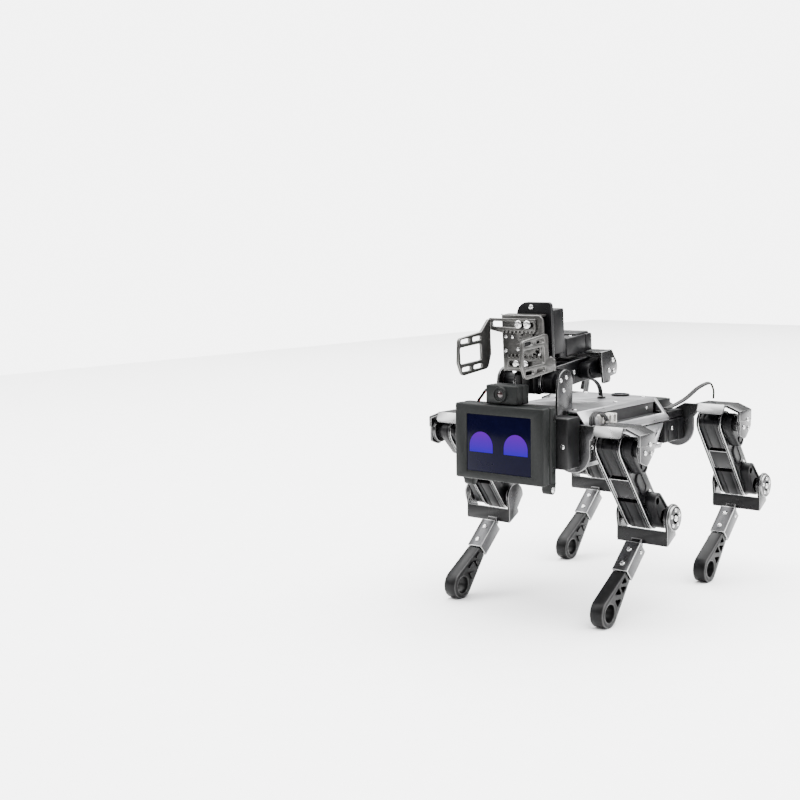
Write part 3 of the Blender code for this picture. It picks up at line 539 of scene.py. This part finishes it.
def roll_servo(start, depth, facing):
    """A servo lying along Y; facing is -1 when its shaft points forward."""
    inner, outer = ROLL_X + SERVO_HALF - 23.3, ROLL_X + 5.5
    low, high = ROLL_Z - 6.5, ROLL_Z + 6.5
    if facing < 0:
        levels = [start, start + depth * 0.3, start + depth * 0.78, start + depth]
    else:
        levels = [start, start + depth * 0.22, start + depth * 0.7, start + depth]
    outline = rounded([(inner, low, 0.8), (outer, low, 0.8), (outer, high, 0.8), (inner, high, 0.8)], 3)
    left, right, bottom, top = inner + 0.3, outer - 0.3, low + 0.3, high - 0.3
    core = [(left, bottom), (right, bottom), (right, top), (left, top)]
    case = layered("Y", levels, outline, core)
    shaft_side = start if facing < 0 else start + depth
    boss = disc("Y", (ROLL_X, ROLL_Z), 4.4, *sorted((shaft_side + facing * 0.4, shaft_side - facing)))
    return joined(case, add=[boss])


# ---- legs -----------------------------------------------------------------------------------


def hip_bracket():
    """Folded sheet: roll flange, top with a tilted front tab, a bevel and the horn plate outside."""
    lobe = arc((ROLL_X, ROLL_Z), 11.3, 140, 360, 24)
    neck = [(39.8, 99.0), (41.8, 101.4), (42.2, 106.9), (33.5, 106.9)]
    flange = plate("Y", FLANGE_FRONT, FLANGE_REAR, lobe + neck)
    top = box((41.0, FLANGE_FRONT + 0.4, 105.6), (60.0, -24.0, 107.2))
    tab_outline = rounded([(43.2, 107.1), (43.2, 100.9, 2.4), (60.0, 100.9, 2.4), (60.0, 107.1)])
    tab = plate("Y", -42.3, -40.9, tab_outline)
    tab = turned(tab, "X", -27, (0, -41.0, 106.9))
    bend = [
        (59.0, 107.2), (60.4, 107.2), (68.6, 103.9), (68.6, 98.0),
        (67.0, 98.0), (67.0, 102.9), (60.0, 105.6), (59.0, 105.6),
    ]
    side = plate("Y", FLANGE_REAR - 0.4, -24.0, bend)
    horn_outline = rounded(
        [(-24.2, 102.5), (-39.2, 102.5), (-39.2, 89.5, 1.5), (-31.5, 86.6, 4), (-24.2, 94.0, 1.5)]
    )
    horn_plate = plate("X", 67.1, 68.5, horn_outline)
    horn = disc("X", HIP, 7.0, 65.5, 67.5)
    sheet = edged(joined(flange, add=[top, tab, side, horn_plate, horn]), 0.3, 1)
    # The tab's faces, which face forward and up, take the lighter tab material: a painted reflection.
    return recoloured(sheet, 2, lambda normal: normal.y < -0.8 and 0.3 < normal.z < 0.6)


def recoloured(mesh, slot, chosen):
    """Give the plain faces that the test picks by their normal another material slot."""
    for _ in range(slot + 1 - len(mesh.materials)):
        mesh.materials.append(None)
    for polygon in mesh.polygons:
        if polygon.material_index == 0 and chosen(polygon.normal):
            polygon.material_index = slot
    return mesh


def knee_bracket():
    """The sheet's ears keep the metallic bracket coating; its web, which lies across the leg, gets the darker
    black-plate material as painted shade.
    """
    mesh = edged(cad_mesh("front_left_knee_bracket"), 0.25, 1)
    return recoloured(mesh, 2, lambda normal: abs(normal.x) < 0.5)


def spread(centre, radius, count, start=0.0):
    """Evenly spaced points round a circle."""
    turns = [math.radians(start + 360 * i / count) for i in range(count)]
    return [(centre[0] + radius * math.cos(a), centre[1] + radius * math.sin(a)) for a in turns]


def hip_screws():
    heads = [(68.5, y, z) for y, z in ((-29.4, 98.2), (-34.6, 94.2), (-27.9, 93.0))]
    return screws(heads, (1, 0, 0), 1.35, 0.75)


def knee_disc():
    """The driven horn's turned disc, stepped and countersunk."""
    rim = edged(disc("X", KNEE, 6.9, 66.7, 68.2), 0.25)
    recess = plate("X", 67.7, 69, ring(KNEE, 5.9), [ring(KNEE, 3.0)])
    return joined(rim, cut=[recess])


def knee_screws():
    heads = [(67.7, *point) for point in spread(KNEE, 4.5, 5, 18)]
    return merged([screws(heads, (1, 0, 0), 1.15, 0.9), screw((68.1, *KNEE), (1, 0, 0), 1.7, 0.7)])


def thigh_screws():
    heads = [(THIGH_OUTSIDE, -6.1, 68.7), (THIGH_OUTSIDE, -25.0, 84.0)]
    return screws(heads, (1, 0, 0), 1.2, 0.7)


def thigh_covers():
    """Low pads on the thigh's outer plate, where its sheet is pressed out between the two servos."""
    rise = heading(HIP, KNEE)
    start, end = along(HIP, rise, 22.5, 0), along(HIP, rise, 30, 0)
    pad = edged(plate("X", THIGH_OUTSIDE - 0.4, THIGH_OUTSIDE + 0.7, teardrop(start, end, 3.6, 3.6)), 0.3)
    dish = plate("X", THIGH_OUTSIDE + 0.3, THIGH_OUTSIDE + 2, teardrop(start, end, 2.2, 2.2))
    return joined(pad, cut=[dish])


def shin_screws():
    """Two heads on the tube's upper face and one on its outer side."""
    lean = (0, -math.sin(SHIN_RISE), math.cos(SHIN_RISE))
    heads = [(48.2, *along(FOOT, SHIN_RISE, t, 4.1)) for t in (29.6, 39.2)]
    side_head = screw((52.9, *along(FOOT, SHIN_RISE, 41, 0)), (1, 0, 0), 1.1, 0.5)
    return merged([screws(heads, lean, 1.5, 0.8), side_head])


def foot():
    """Moulded ring foot that tapers into a bar, its sides lightened by pockets between ribs."""
    outline = teardrop(FOOT, along(FOOT, SHIN_RISE, 22.6, 0), 8.0, 3.95, 28)
    bar = plate("X", *FOOT_X, outline, [ring(FOOT, 4.9, 40)])
    end = [(24.6, -6), (32, -6), (32, 6), (24.6, 6)]
    stop = plate("X", *FOOT_X, [along(FOOT, SHIN_RISE, *p) for p in end])
    body = edged(joined(bar, cut=[stop]), 0.6, 1)
    plug = [(22.0, -2.4), (33.0, -2.4), (33.0, 2.4), (22.0, 2.4)]
    tongue = plate("X", FOOT_X[0] + 0.9, FOOT_X[1] - 0.9, [along(FOOT, SHIN_RISE, *p) for p in plug])
    triangles = [
        ((6.8, -3.8), (12.4, -3.6), (7.6, 1.6)),
        ((9.2, 3.9), (14.6, 3.3), (14.0, -1.8)),
        ((15.2, -3.0), (20.0, -2.6), (15.8, 2.4)),
        ((17.2, 2.9), (22.6, 2.5), (21.8, -1.6)),
    ]
    pockets = []
    for triangle in triangles:
        hollow = rounded([(*along(FOOT, SHIN_RISE, *p), 0.5) for p in triangle], 3)
        pockets.append(plate("X", FOOT_X[0] - 1, FOOT_X[0] + 2.8, hollow))
        pockets.append(plate("X", FOOT_X[1] - 2.8, FOOT_X[1] + 1, hollow))
    return joined(body, add=[tongue], cut=pockets)


def leg_pieces():
    """name: (mesh, materials, body, slot, CAD node); a body or node name follows the corner's."""
    case, gearbox = (42.1, 53.9), (THIGH_OUTSIDE + 0.3, THIGH_OUTSIDE + 6.2)
    return {
        "hip_bracket_sheet": (
            hip_bracket(), [BRACKET, BRACKET_HIGHLIGHT, BRACKET_TAB_REFLECTION], "hip", "bracket_grey", "hip_bracket"
        ),
        "hip_screws": (hip_screws(), [STEEL], "hip", "brushed_silver", None),
        "thigh_plates": (
            edged(cad_mesh("front_left_thigh_frame"), 0.3, 1), [BLACK_PLATE, EDGE_HIGHLIGHT],
            "thigh", "black_anodised", "thigh_frame",
        ),
        "thigh_pad": (thigh_covers(), [SERVO_BLACK], "thigh", "servo_plastic", None),
        "thigh_screws": (thigh_screws(), [STEEL], "thigh", "brushed_silver", None),
        "hip_servo_case": (
            limb_servo(HIP, KNEE, case, gearbox, 65.2), [SERVO_BLACK], "thigh", "servo_plastic", "hip_servo"
        ),
        "knee_servo_case": (
            limb_servo(KNEE, HIP, case, gearbox, 63.8), [SERVO_BLACK], "thigh", "servo_plastic", "knee_servo"
        ),
        "knee_bracket_sheet": (
            knee_bracket(), [BRACKET, BRACKET_HIGHLIGHT, BLACK_PLATE],
            "shin", "bracket_grey", "knee_bracket",
        ),
        "knee_horn_disc": (knee_disc(), [DISC_STEEL], "shin", "brushed_silver", None),
        "knee_screws": (knee_screws(), [STEEL], "shin", "brushed_silver", None),
        "shin_sleeve": (
            edged(cad_mesh("front_left_shin_tube"), 0.35, 1), [TUBE_SILVER, EDGE_HIGHLIGHT],
            "shin", "brushed_silver", "shin_tube",
        ),
        "shin_screws": (shin_screws(), [STEEL], "shin", "brushed_silver", None),
        "foot_moulding": (foot(), [FOOT_BLACK, FOOT_HIGHLIGHT], "shin", "foot_plastic", "foot"),
    }


def build_legs():
    pieces = leg_pieces()
    for corner in CORNERS:
        for name, (mesh, materials, body, slot, node) in pieces.items():
            nodes = [f"{corner}_{node}"] if node else []
            show(f"{corner}_{name}", mesh, materials, f"{corner}_{body}", nodes, corner_place(corner))


def build_roll_servos():
    start = FLANGE_REAR + 0.7
    front = roll_servo(start, 24.0, -1)
    rear_start = FLANGE_FRONT + FLANGE_REAR - start - 24.0
    rear = roll_servo(rear_start, 24.0, 1)
    front_side = ROLL_X + 5.5
    for corner, (_, shift) in CORNERS.items():
        mesh, middle = (front, start + 12) if shift == 0 else (rear, rear_start + 12)
        place = corner_place(corner)
        show(f"{corner}_roll_servo_case", mesh, [SERVO_BLACK], "robot",
             [f"{corner}_roll_servo"], place)
        head = screw((front_side, middle - 3, ROLL_Z + 1.5), (1, 0, 0), 1.2, 0.6)
        fasten(f"{corner}_roll_servo_screw", head, "robot", place)


# ---- torso ----------------------------------------------------------------------------------


def upper_shell():
    """Sheet with slots behind the arm's foot and a hole for the arm's lead."""
    shell = cad_mesh("torso_upper_shell")
    slots = []
    for x, y in ((-14.0, 8.0), (-4.0, 8.0), (6.0, 8.0), (-14.0, 13.0), (-4.0, 13.0), (6.0, 13.0)):
        slots.append(plate("Z", 109, 113, teardrop((x, y), (x + 7, y), 0.9, 0.9, 6)))
    hole = plate("Z", 109, 113, ring((3.0, 32.2), 1.9, 24))
    return edged(joined(shell, cut=[*slots, hole]), 0.25, 1)


def lower_shell():
    """Side sheets with three slanted vents at each end of the waist's lower side."""
    shell = cad_mesh("torso_lower_shell")
    vents = []
    for side in (-1, 1):
        for y in (33.5, 38.0, 42.5):
            vent = teardrop((y, 86.8), (y + 3.4, 92.6), 0.85, 0.85, 6)
            vents.append(plate("X", *sorted((side * 24.0, side * 40.0)), vent))
    return edged(joined(shell, cut=vents), 0.25, 1)


def ring_fitting():
    """Low dark grommet ring on the deck, with a stepped cap inside."""
    centre = (5.5, 50.0)
    rim = edged(plate("Z", HULL_TOP, HULL_TOP + 1.2, ring(centre, 5.4, 36), [ring(centre, 3.9, 30)]), 0.3)
    cap = edged(plate("Z", HULL_TOP - 0.4, HULL_TOP + 0.5, ring(centre, 3.7, 30)), 0.2)
    bar = edged(box((4.6, 47.0, HULL_TOP), (6.4, 53.0, HULL_TOP + 0.8)), 0.2)
    return joined(rim, add=[cap, bar])


def connector(y):
    """White three-pin wafer on the recess's ledge, its open side outward."""
    body = box((26.0, y, 103.0), (31.2, y + 4.6, 108.6))
    mouth = box((28.2, y + 0.7, 103.9), (32.5, y + 3.9, 107.8))
    notch = box((28.4, y + 1.6, 107.0), (32.5, y + 3.0, 109.5))
    return joined(edged(body, 0.2), cut=[mouth, notch])


def connector_pins(y):
    starts = [y + offset for offset in (1.1, 2.05, 3.0)]
    return merged([box((27.0, start, 105.5), (30.6, start + 0.5, 106.0)) for start in starts])


def control_board():
    """Board with a screened module, sockets and rows of small chips."""
    board = box((-22.5, -11.0, 103.0), (22.5, 47.0, 104.6))
    sockets = [box((x, -10.4, 104.2), (x + 7.6, -5.4, 108.6)) for x in (-20.0, -9.0, 2.0, 13.0)]
    mouths = [box((x + 0.8, -9.6, 105.4), (x + 6.8, -6.2, 109)) for x in (-20.0, -9.0, 2.0, 13.0)]
    chips = [box((x, 41.0, 104.4), (x + 4, 44.0, 105.6)) for x in (-18.0, -10.0, -2.0, 6.0, 14.0)]
    module = box((-14.0, 4.0, 104.2), (14.0, 38.0, 107.2))
    return edged(joined(board, add=[module, *sockets, *chips], cut=mouths), 0.2)


def build_torso():
    for level, shell in (("upper", upper_shell()), ("lower", lower_shell())):
        show(f"hull_{level}_sheet", shell, [HULL_SILVER, EDGE_HIGHLIGHT], "robot",
             [f"torso_{level}_shell"])
    for hand, side in HANDS.items():
        mirror = mirrored(side)
        node = f"torso_side_panel_{hand}"
        show(f"side_panel_{hand}", edged(cad_mesh(node), 0.15), [DARK_PANEL], "robot", [node])
        places = (-13.6, -8.4, -3.2)
        plugs = merged([connector(y) for y in places])
        show(f"connectors_{hand}", plugs, [WHITE_NYLON], "robot", (), mirror)
        pins = merged([connector_pins(y) for y in places])
        fasten(f"connector_pins_{hand}", pins, "robot", mirror)
        heads = [(25.2, y, 106.3) for y in (8.0, 46.0)]
        fasten(f"side_panel_screws_{hand}", screws(heads, (1, 0, 0), 1.1, 0.5), "robot", mirror)
    show("deck_ring", ring_fitting(), [BLOCK_BLACK], "robot")
    deck = [(side * 19.5, y, HULL_TOP) for side in (-1, 1) for y in (-24.0, 20.0, 52.0)]
    fasten("deck_screws", screws(deck, (0, 0, 1), 1.5, 0.7))
    belly = [(side * 22.0, y, 82.0) for side in (-1, 1) for y in (-2.0, 28.0)]
    fasten("belly_screws", screws(belly, (0, 0, -1), 1.5, 0.7))
    battery = edged(cad_mesh("battery_pack"), 0.4)
    show("battery_sleeve", battery, [BATTERY_WRAP], "robot", ["battery_pack"])
    show("main_board", control_board(), [SOLDER_MASK], "robot", ["control_board"])
    for name in ("front_mount_block", "rear_mount_block"):
        show(f"{name}_moulding", edged(cad_mesh(name), 0.35), [BLOCK_BLACK], "robot", [name])
    for hand, side in HANDS.items():
        head = screw((side * 31.5, -54.9, 96.7), (0, -1, 0), 1.4, 0.6)
        fasten(f"block_screw_{hand}", head)


# ---- head -----------------------------------------------------------------------------------


def half_dome(centre, width, height):
    """Flat-bottomed rounded outline: upright sides below, half an ellipse above."""
    half = width / 2
    side = height * 0.28
    points = [(centre - half, 91.9), (centre + half, 91.9)]
    for i in range(25):
        angle = math.pi * i / 24
        points.append((centre + half * math.cos(angle), 91.9 + side + (height - side) * math.sin(angle)))
    return points


def build_head():
    bezel = edged(cad_mesh("head_bezel"), 0.3)
    show("face_frame", bezel, [HEAD_CHARCOAL], "robot", ["head_bezel"])
    cover = cad_mesh("head_cover")
    sockets = [disc("X", (y, z), 1.3, side * 28.8 - 1.3, side * 28.8 + 1.3, 20)
               for side in (-1, 1) for y, z in ((-57.6, 111.4), (-57.9, 84.8))]
    vents = [plate("Y", -58, -53, teardrop((x, 91.0), (x, 103.0), 0.9, 0.9, 6)) for x in range(-18, 19, 6)]
    show("head_shell", edged(joined(cover, cut=[*sockets, *vents]), 0.3), [HEAD_CHARCOAL],
         "robot", ["head_cover"])
    glass = box((-SCREEN_HALF + 0.25, FACE + 0.35, SCREEN_Z - SCREEN_RISE + 0.25),
                (SCREEN_HALF - 0.25, FACE + 2.6, SCREEN_Z + SCREEN_RISE - 0.25))
    backing = box((-24.4, FACE + 2.1, 81.0), (24.4, FACE + 4.6, 112.6))
    panel = edged(joined(glass, add=[backing]), 0.15)
    show("screen", panel, [SCREEN_GLASS], "robot", ["display_panel"])
    eyes = [plate("Y", FACE + 0.2, FACE + 0.33, half_dome(side * 11.1, 15.0, 11.0)) for side in (-1, 1)]
    show("screen_eyes", merged(eyes), [EYE_LIGHT], "robot")
    for hand, side in HANDS.items():
        mirror = mirrored(side)
        heads = [(28.0, -58.3, 74.2), (27.6, -57.6, 111.4), (27.6, -57.9, 84.8)]
        dark = screws(heads[1:], (1, 0, 0), 1.15, 0.5)
        show(f"head_side_screws_{hand}", dark, [BLOCK_BLACK], "robot", (), mirror)
        lug_screw = screw(heads[0], (1, 0, 0), 1.7, 0.7)
        fasten(f"head_lug_screw_{hand}", lug_screw, "robot", mirror)
    build_camera_module()


def lens_dome():
    """Bulging front glass of the lens, a turned cap."""
    shape = bmesh.new()
    radius, bulge, sides, rings = 2.15, 0.7, 32, 6
    rows = []
    for k in range(rings):
        share = 1 - k / rings
        level = bulge * (1 - share * share)
        reach = radius * share
        row = []
        for i in range(sides):
            angle = 2 * math.pi * i / sides
            spot = Vector((reach * math.cos(angle), -level, reach * math.sin(angle)))
            row.append(shape.verts.new(spot * MM))
        rows.append(row)
    tip = shape.verts.new((0, -bulge * MM, 0))
    for outer, inner in zip(rows, rows[1:]):
        for i in range(sides):
            j = (i + 1) % sides
            shape.faces.new((outer[i], outer[j], inner[j], inner[i]))
    for i in range(sides):
        shape.faces.new((rows[-1][i], rows[-1][(i + 1) % sides], tip))
    shape.faces.new(rows[0][::-1])
    bmesh.ops.recalc_face_normals(shape, faces=shape.faces)
    mesh = bpy.data.meshes.new("lens")
    shape.to_mesh(mesh)
    shape.free()
    mesh.transform(Matrix.Translation((0, -65.9 * MM, CAMERA_Z * MM)))
    return mesh


def build_camera_module():
    case = cad_mesh("camera_housing")
    hood = plate("Y", -67.0, -64.6, ring((0, CAMERA_Z), 4.1, 36), [ring((0, CAMERA_Z), 3.3, 30)])
    seam = plate("Y", -60.3, -60.0, [(-12, 116), (12, 116), (12, 130), (-12, 130)],
                 [[(-9.75, 117), (9.75, 117), (9.75, 127.75), (-9.75, 127.75)]])
    show("camera_case", edged(joined(case, add=[hood], cut=[seam]), 0.25), [HEAD_CHARCOAL],
         "robot", ["camera_housing"])
    show("camera_lens", lens_dome(), [LENS_GLINT], "robot")
    retainer = plate("Y", -66.4, -65.6, ring((0, CAMERA_Z), 2.25, 30), [ring((0, CAMERA_Z), 1.75, 26)])
    show("lens_ring", edged(retainer, 0.1), [BLOCK_BLACK], "robot")
    for name, material, offset in (("black", SLEEVE, 0.0), ("red", RED_SLEEVE, 1.0)):
        loop = [(x, y + offset, z) for x, y, z in CAMERA_WIRE]
        show(f"camera_wire_{name}", wires(loop, 1, 0.55), [material], "robot")


# ---- leads ----------------------------------------------------------------------------------


def smooth_route(knots):
    """Catmull-Rom through the knots."""
    steps = 6
    ends = [2 * knots[0] - knots[1], *knots, 2 * knots[-1] - knots[-2]]
    route = []
    for i in range(1, len(ends) - 2):
        a, b, c, d = ends[i - 1 : i + 3]
        for step in range(steps):
            t = step / steps
            bend = (2 * a - 5 * b + 4 * c - d) * t * t + (3 * b - a - 3 * c + d) * t**3
            route.append((2 * b + (c - a) * t + bend) / 2)
    return [*route, knots[-1]]


def wires(points, count, radius):
    """A flat ribbon of insulated wires side by side along a smooth route."""
    sides = 10
    route = smooth_route([Vector(p) for p in points])
    shape = bmesh.new()
    across = None
    frames = []
    for i, point in enumerate(route):
        ahead = (route[min(i + 1, len(route) - 1)] - route[max(i - 1, 0)]).normalized()
        if across is None:
            across = ahead.cross(Vector((0, 0, 1))).normalized()
        across = (across - ahead * across.dot(ahead)).normalized()
        frames.append((point, across.copy(), ahead.cross(across)))
    for lane in range(count):
        shift = (lane - (count - 1) / 2) * radius * 1.86
        rows = []
        for point, across, up in frames:
            row = []
            for i in range(sides):
                angle = 2 * math.pi * i / sides
                spot = point + across * (shift + radius * math.cos(angle)) + up * radius * math.sin(angle)
                row.append(shape.verts.new(spot * MM))
            rows.append(row)
        for lower, upper in zip(rows, rows[1:]):
            for i in range(sides):
                j = (i + 1) % sides
                shape.faces.new((lower[i], lower[j], upper[j], upper[i]))
        shape.faces.new(rows[0][::-1])
        shape.faces.new(rows[-1])
    bmesh.ops.recalc_face_normals(shape, faces=shape.faces)
    mesh = bpy.data.meshes.new("wires")
    shape.to_mesh(mesh)
    shape.free()
    return mesh


def build_leads():
    """Each ribbon runs from the body it leaves to the body it feeds; it is baked in place and attached to no
    body.
    """
    for corner, (side, shift) in CORNERS.items():
        route = FRONT_LEAD if shift == 0 else REAR_LEAD
        place = mirrored(side)
        obj = show(f"{corner}_ribbon", wires(route, 3, 0.6), [SLEEVE], None,
                   [f"{corner}_servo_lead"], place)
        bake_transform(obj)
    obj = show("arm_ribbon", wires(ARM_LEAD, 3, 0.5), [SLEEVE], None, ["arm_servo_lead"])
    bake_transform(obj)
    rim, bore = ring((3.0, 32.2), 2.5, 28), ring((3.0, 32.2), 1.5, 20)
    sleeve = plate("Z", HULL_TOP - 0.6, HULL_TOP + 0.9, rim, [bore])
    show("lead_grommet", edged(sleeve, 0.2), [SLEEVE], "robot")


# ---- arm ------------------------------------------------------------------------------------


def forearm_place():
    """Forearm pieces are drawn level and then droop about the elbow."""
    centre = Vector((0, *ELBOW)) * MM
    return Matrix.Translation(centre) @ Matrix.Rotation(FOREARM_DROOP, 4, "X") @ Matrix.Translation(-centre)


def levelled(node):
    """A forearm node's mesh, turned back to the level pose in which the forearm is drawn."""
    mesh = cad_mesh(node)
    mesh.transform(forearm_place().inverted())
    return mesh


def gripper_base():
    """Front plate with ribs beside the pinion's opening."""
    base = levelled("gripper_base_plate")
    lines = [box((x, GRIPPER_FACE - 0.35, 148.0), (x + 0.7, GRIPPER_FACE + 0.4, 158.0)) for x in (10.4, 12.0)]
    return edged(joined(base, add=lines), 0.2, 1)


def gripper_servo():
    """Servo case with its lid, seams and cable boss."""
    case = levelled("gripper_servo")
    seams = []
    for y in (-17.0, 3.0):
        seams.append(plate("Y", y, y + 0.3, [(-14, 141), (13, 141), (13, 155), (-14, 155)],
                           [[(-12.2, 143.1), (10.2, 143.1), (10.2, 152.1), (-12.2, 152.1)]]))
    return edged(joined(case, cut=seams), 0.3)


def build_arm():
    fore = forearm_place()
    show("arm_yoke", edged(cad_mesh("arm_base_bracket"), 0.25, 1), [BRACKET, BRACKET_HIGHLIGHT], "robot",
         ["arm_base_bracket"])
    show("upper_arm_plates", edged(cad_mesh("upper_arm_frame"), 0.25, 1), [BLACK_PLATE, EDGE_HIGHLIGHT],
         "upper_arm", ["upper_arm_frame"])
    case, gearbox = (-7.9, 6.3), (8.3, 15.0)
    for name, axis, towards in (("shoulder_servo", SHOULDER, ELBOW), ("elbow_servo", ELBOW, SHOULDER)):
        show(f"{name}_case", limb_servo(axis, towards, case, gearbox, 18.2), [SERVO_BLACK],
             "upper_arm", [name])
    for hand, side in HANDS.items():
        mirror = mirrored(side)
        yoke = [(20.0, *point) for point in ((-38.6, 129.3), (-33.3, 130.6), (-35.8, 123.8))]
        fasten(f"yoke_screws_{hand}", screws(yoke, (1, 0, 0), 1.25, 0.7), "robot", mirror)
        elbow = [(20.0, *point) for point in ((15.6, 136.4), (11.6, 130.9), (16.9, 130.4))]
        fasten(f"elbow_screws_{hand}", screws(elbow, (1, 0, 0), 1.35, 0.7), "forearm", mirror)
    arm_heads = [(8.0, *point) for point in ((-14.0, 129.8), (-6.0, 130.6))]
    fasten("upper_arm_screws", screws(arm_heads, (1, 0, 0), 1.3, 0.7), "upper_arm")
    show("elbow_yoke", edged(levelled("elbow_bracket"), 0.25, 1), [BRACKET, BRACKET_HIGHLIGHT], "forearm",
         ["elbow_bracket"], fore)
    show("gripper_servo_case", gripper_servo(), [SERVO_BLACK], "forearm",
         ["gripper_servo"], fore)
    # The rear plate's rounded edges take the lighter dark-panel material: a painted highlight.
    show("gripper_rear_plate", edged(levelled("gripper_back_plate"), 0.25, 1), [BLACK_PLATE, DARK_PANEL],
         "forearm", ["gripper_back_plate"], fore)
    show("gripper_front_plate", gripper_base(), [GRIPPER_METAL, GRIPPER_HIGHLIGHT], "forearm",
         ["gripper_base_plate"], fore)
    show("pinion_gear", edged(levelled("gripper_pinion"), 0.12, 1), [GRIPPER_METAL, GRIPPER_HIGHLIGHT], "pinion",
         ["gripper_pinion"], fore)
    for hand in ("left", "right"):
        blade = edged(levelled(f"gripper_finger_{hand}"), 0.15, 1)
        show(f"{hand}_finger_plate", blade, [GRIPPER_METAL, GRIPPER_HIGHLIGHT], f"{hand}_finger",
             [f"gripper_finger_{hand}"], fore)
    slider_heads = [(x, -45.25, 163.3) for x in (-1.2, 4.4)]
    upper = screws(slider_heads, (0, -1, 0), 2.35, 1.0)
    fasten("slider_screws_upper", upper, "forearm", fore)
    lower_heads = [(x, -45.25, 142.0) for x in (-3.6, 2.2)]
    fasten("slider_screws_lower", screws(lower_heads, (0, -1, 0), 2.0, 0.9), "forearm", fore)
    small_places = ((-10.8, 156.3), (-11.2, 148.6), (-6.5, 156.2), (-3.2, 149.6), (10.4, 147.2))
    small = [(x, GRIPPER_FACE, z) for x, z in small_places]
    fasten("gripper_plate_screws", screws(small, (0, -1, 0), 1.05, 0.5), "forearm", fore)
    fasten("rear_plate_screw", screw((1.3, -36.0, 171.6), (0, -1, 0), 1.5, 0.7), "forearm", fore)
    lid_heads = [(x, y, 152.4) for x in (-9.6, 7.6) for y in (-20.5, -8.0)]
    fasten("gripper_servo_screws", screws(lid_heads, (0, 0, 1), 1.0, 0.6), "forearm", fore)


# ---- stage ----------------------------------------------------------------------------------


def build_floor():
    mesh = box((-1500, -1500, -4), (1500, 2500, 0))
    floor = bpy.data.objects.new("floor", mesh)
    bpy.context.scene.collection.objects.link(floor)
    paper = surface("floor_paper", (0.95, 0.95, 0.95), 0.7, 0.0, 60, contrast=0.01, bump=0.02)
    mesh.materials.append(paper)


def softbox(name, position, target, size, power):
    light = bpy.data.lights.new(name, "AREA")
    light.shape = "RECTANGLE"
    light.size, light.size_y = size
    light.energy = power
    obj = bpy.data.objects.new(name, light)
    obj.location = position
    obj.rotation_euler = (Vector(target) - Vector(position)).to_track_quat("-Z", "Y").to_euler()
    bpy.context.scene.collection.objects.link(obj)


def build_world():
    """A white backdrop to look at, and for lighting a sky that is bright overhead and dim at the horizon."""
    world = bpy.data.worlds.new("studio")
    world.use_nodes = True
    bpy.context.scene.world = world
    tree = world.node_tree
    backdrop = tree.nodes["Background"]
    backdrop.inputs["Color"].default_value = (1, 1, 1, 1)
    backdrop.inputs["Strength"].default_value = 6.0
    sky = tree.nodes.new("ShaderNodeBackground")
    sky.inputs["Strength"].default_value = 1.0
    place = tree.nodes.new("ShaderNodeTexCoord")
    parts = tree.nodes.new("ShaderNodeSeparateXYZ")
    tree.links.new(place.outputs["Generated"], parts.inputs["Vector"])
    height = tree.nodes.new("ShaderNodeMapRange")
    height.inputs["From Min"].default_value = 0.0
    height.inputs["From Max"].default_value = 0.7
    height.inputs["To Min"].default_value = 0.25
    height.inputs["To Max"].default_value = 1.1
    tree.links.new(parts.outputs["Z"], height.inputs["Value"])
    tree.links.new(height.outputs["Result"], sky.inputs["Color"])
    rays = tree.nodes.new("ShaderNodeLightPath")
    choice = tree.nodes.new("ShaderNodeMixShader")
    tree.links.new(rays.outputs["Is Camera Ray"], choice.inputs["Fac"])
    tree.links.new(sky.outputs["Background"], choice.inputs[1])
    tree.links.new(backdrop.outputs["Background"], choice.inputs[2])
    tree.links.new(choice.outputs["Shader"], tree.nodes["World Output"].inputs["Surface"])


def build_camera():
    """A long lens level with the deck, off the robot's front left corner."""
    azimuth, pitch, roll = (math.radians(angle) for angle in (39.784, 6.687, -0.75))
    right = Vector((math.cos(azimuth), math.sin(azimuth), 0))
    level = math.cos(pitch)
    ahead = Vector((-math.sin(azimuth) * level, math.cos(azimuth) * level, -math.sin(pitch)))
    up = right.cross(ahead)
    side = right * math.cos(roll) + up * math.sin(roll)
    top = up * math.cos(roll) - right * math.sin(roll)
    camera = bpy.data.cameras.new("camera")
    camera.sensor_width = 36
    camera.lens = 56.565
    camera.clip_start = 0.01
    obj = bpy.data.objects.new("camera", camera)
    turn = Matrix((side, top, -ahead)).transposed()
    obj.matrix_world = Matrix.Translation((0.37998, -0.62929, 0.19816)) @ turn.to_4x4()
    bpy.context.scene.collection.objects.link(obj)
    bpy.context.scene.camera = obj


def build_stage():
    build_floor()
    build_world()
    softbox("overhead", (0.0, 0.6, 2.2), (0, 0.6, 0), (4.0, 4.0), 560)
    softbox("right_side", (1.3, 0.5, 0.6), (0, 0, 0.08), (0.9, 0.9), 10)
    softbox("front_left", (-0.95, -0.8, 0.8), (0, 0, 0.08), (0.7, 0.7), 12)
    build_camera()


build_legs()
build_roll_servos()
build_torso()
build_head()
build_arm()
build_leads()
build_stage()
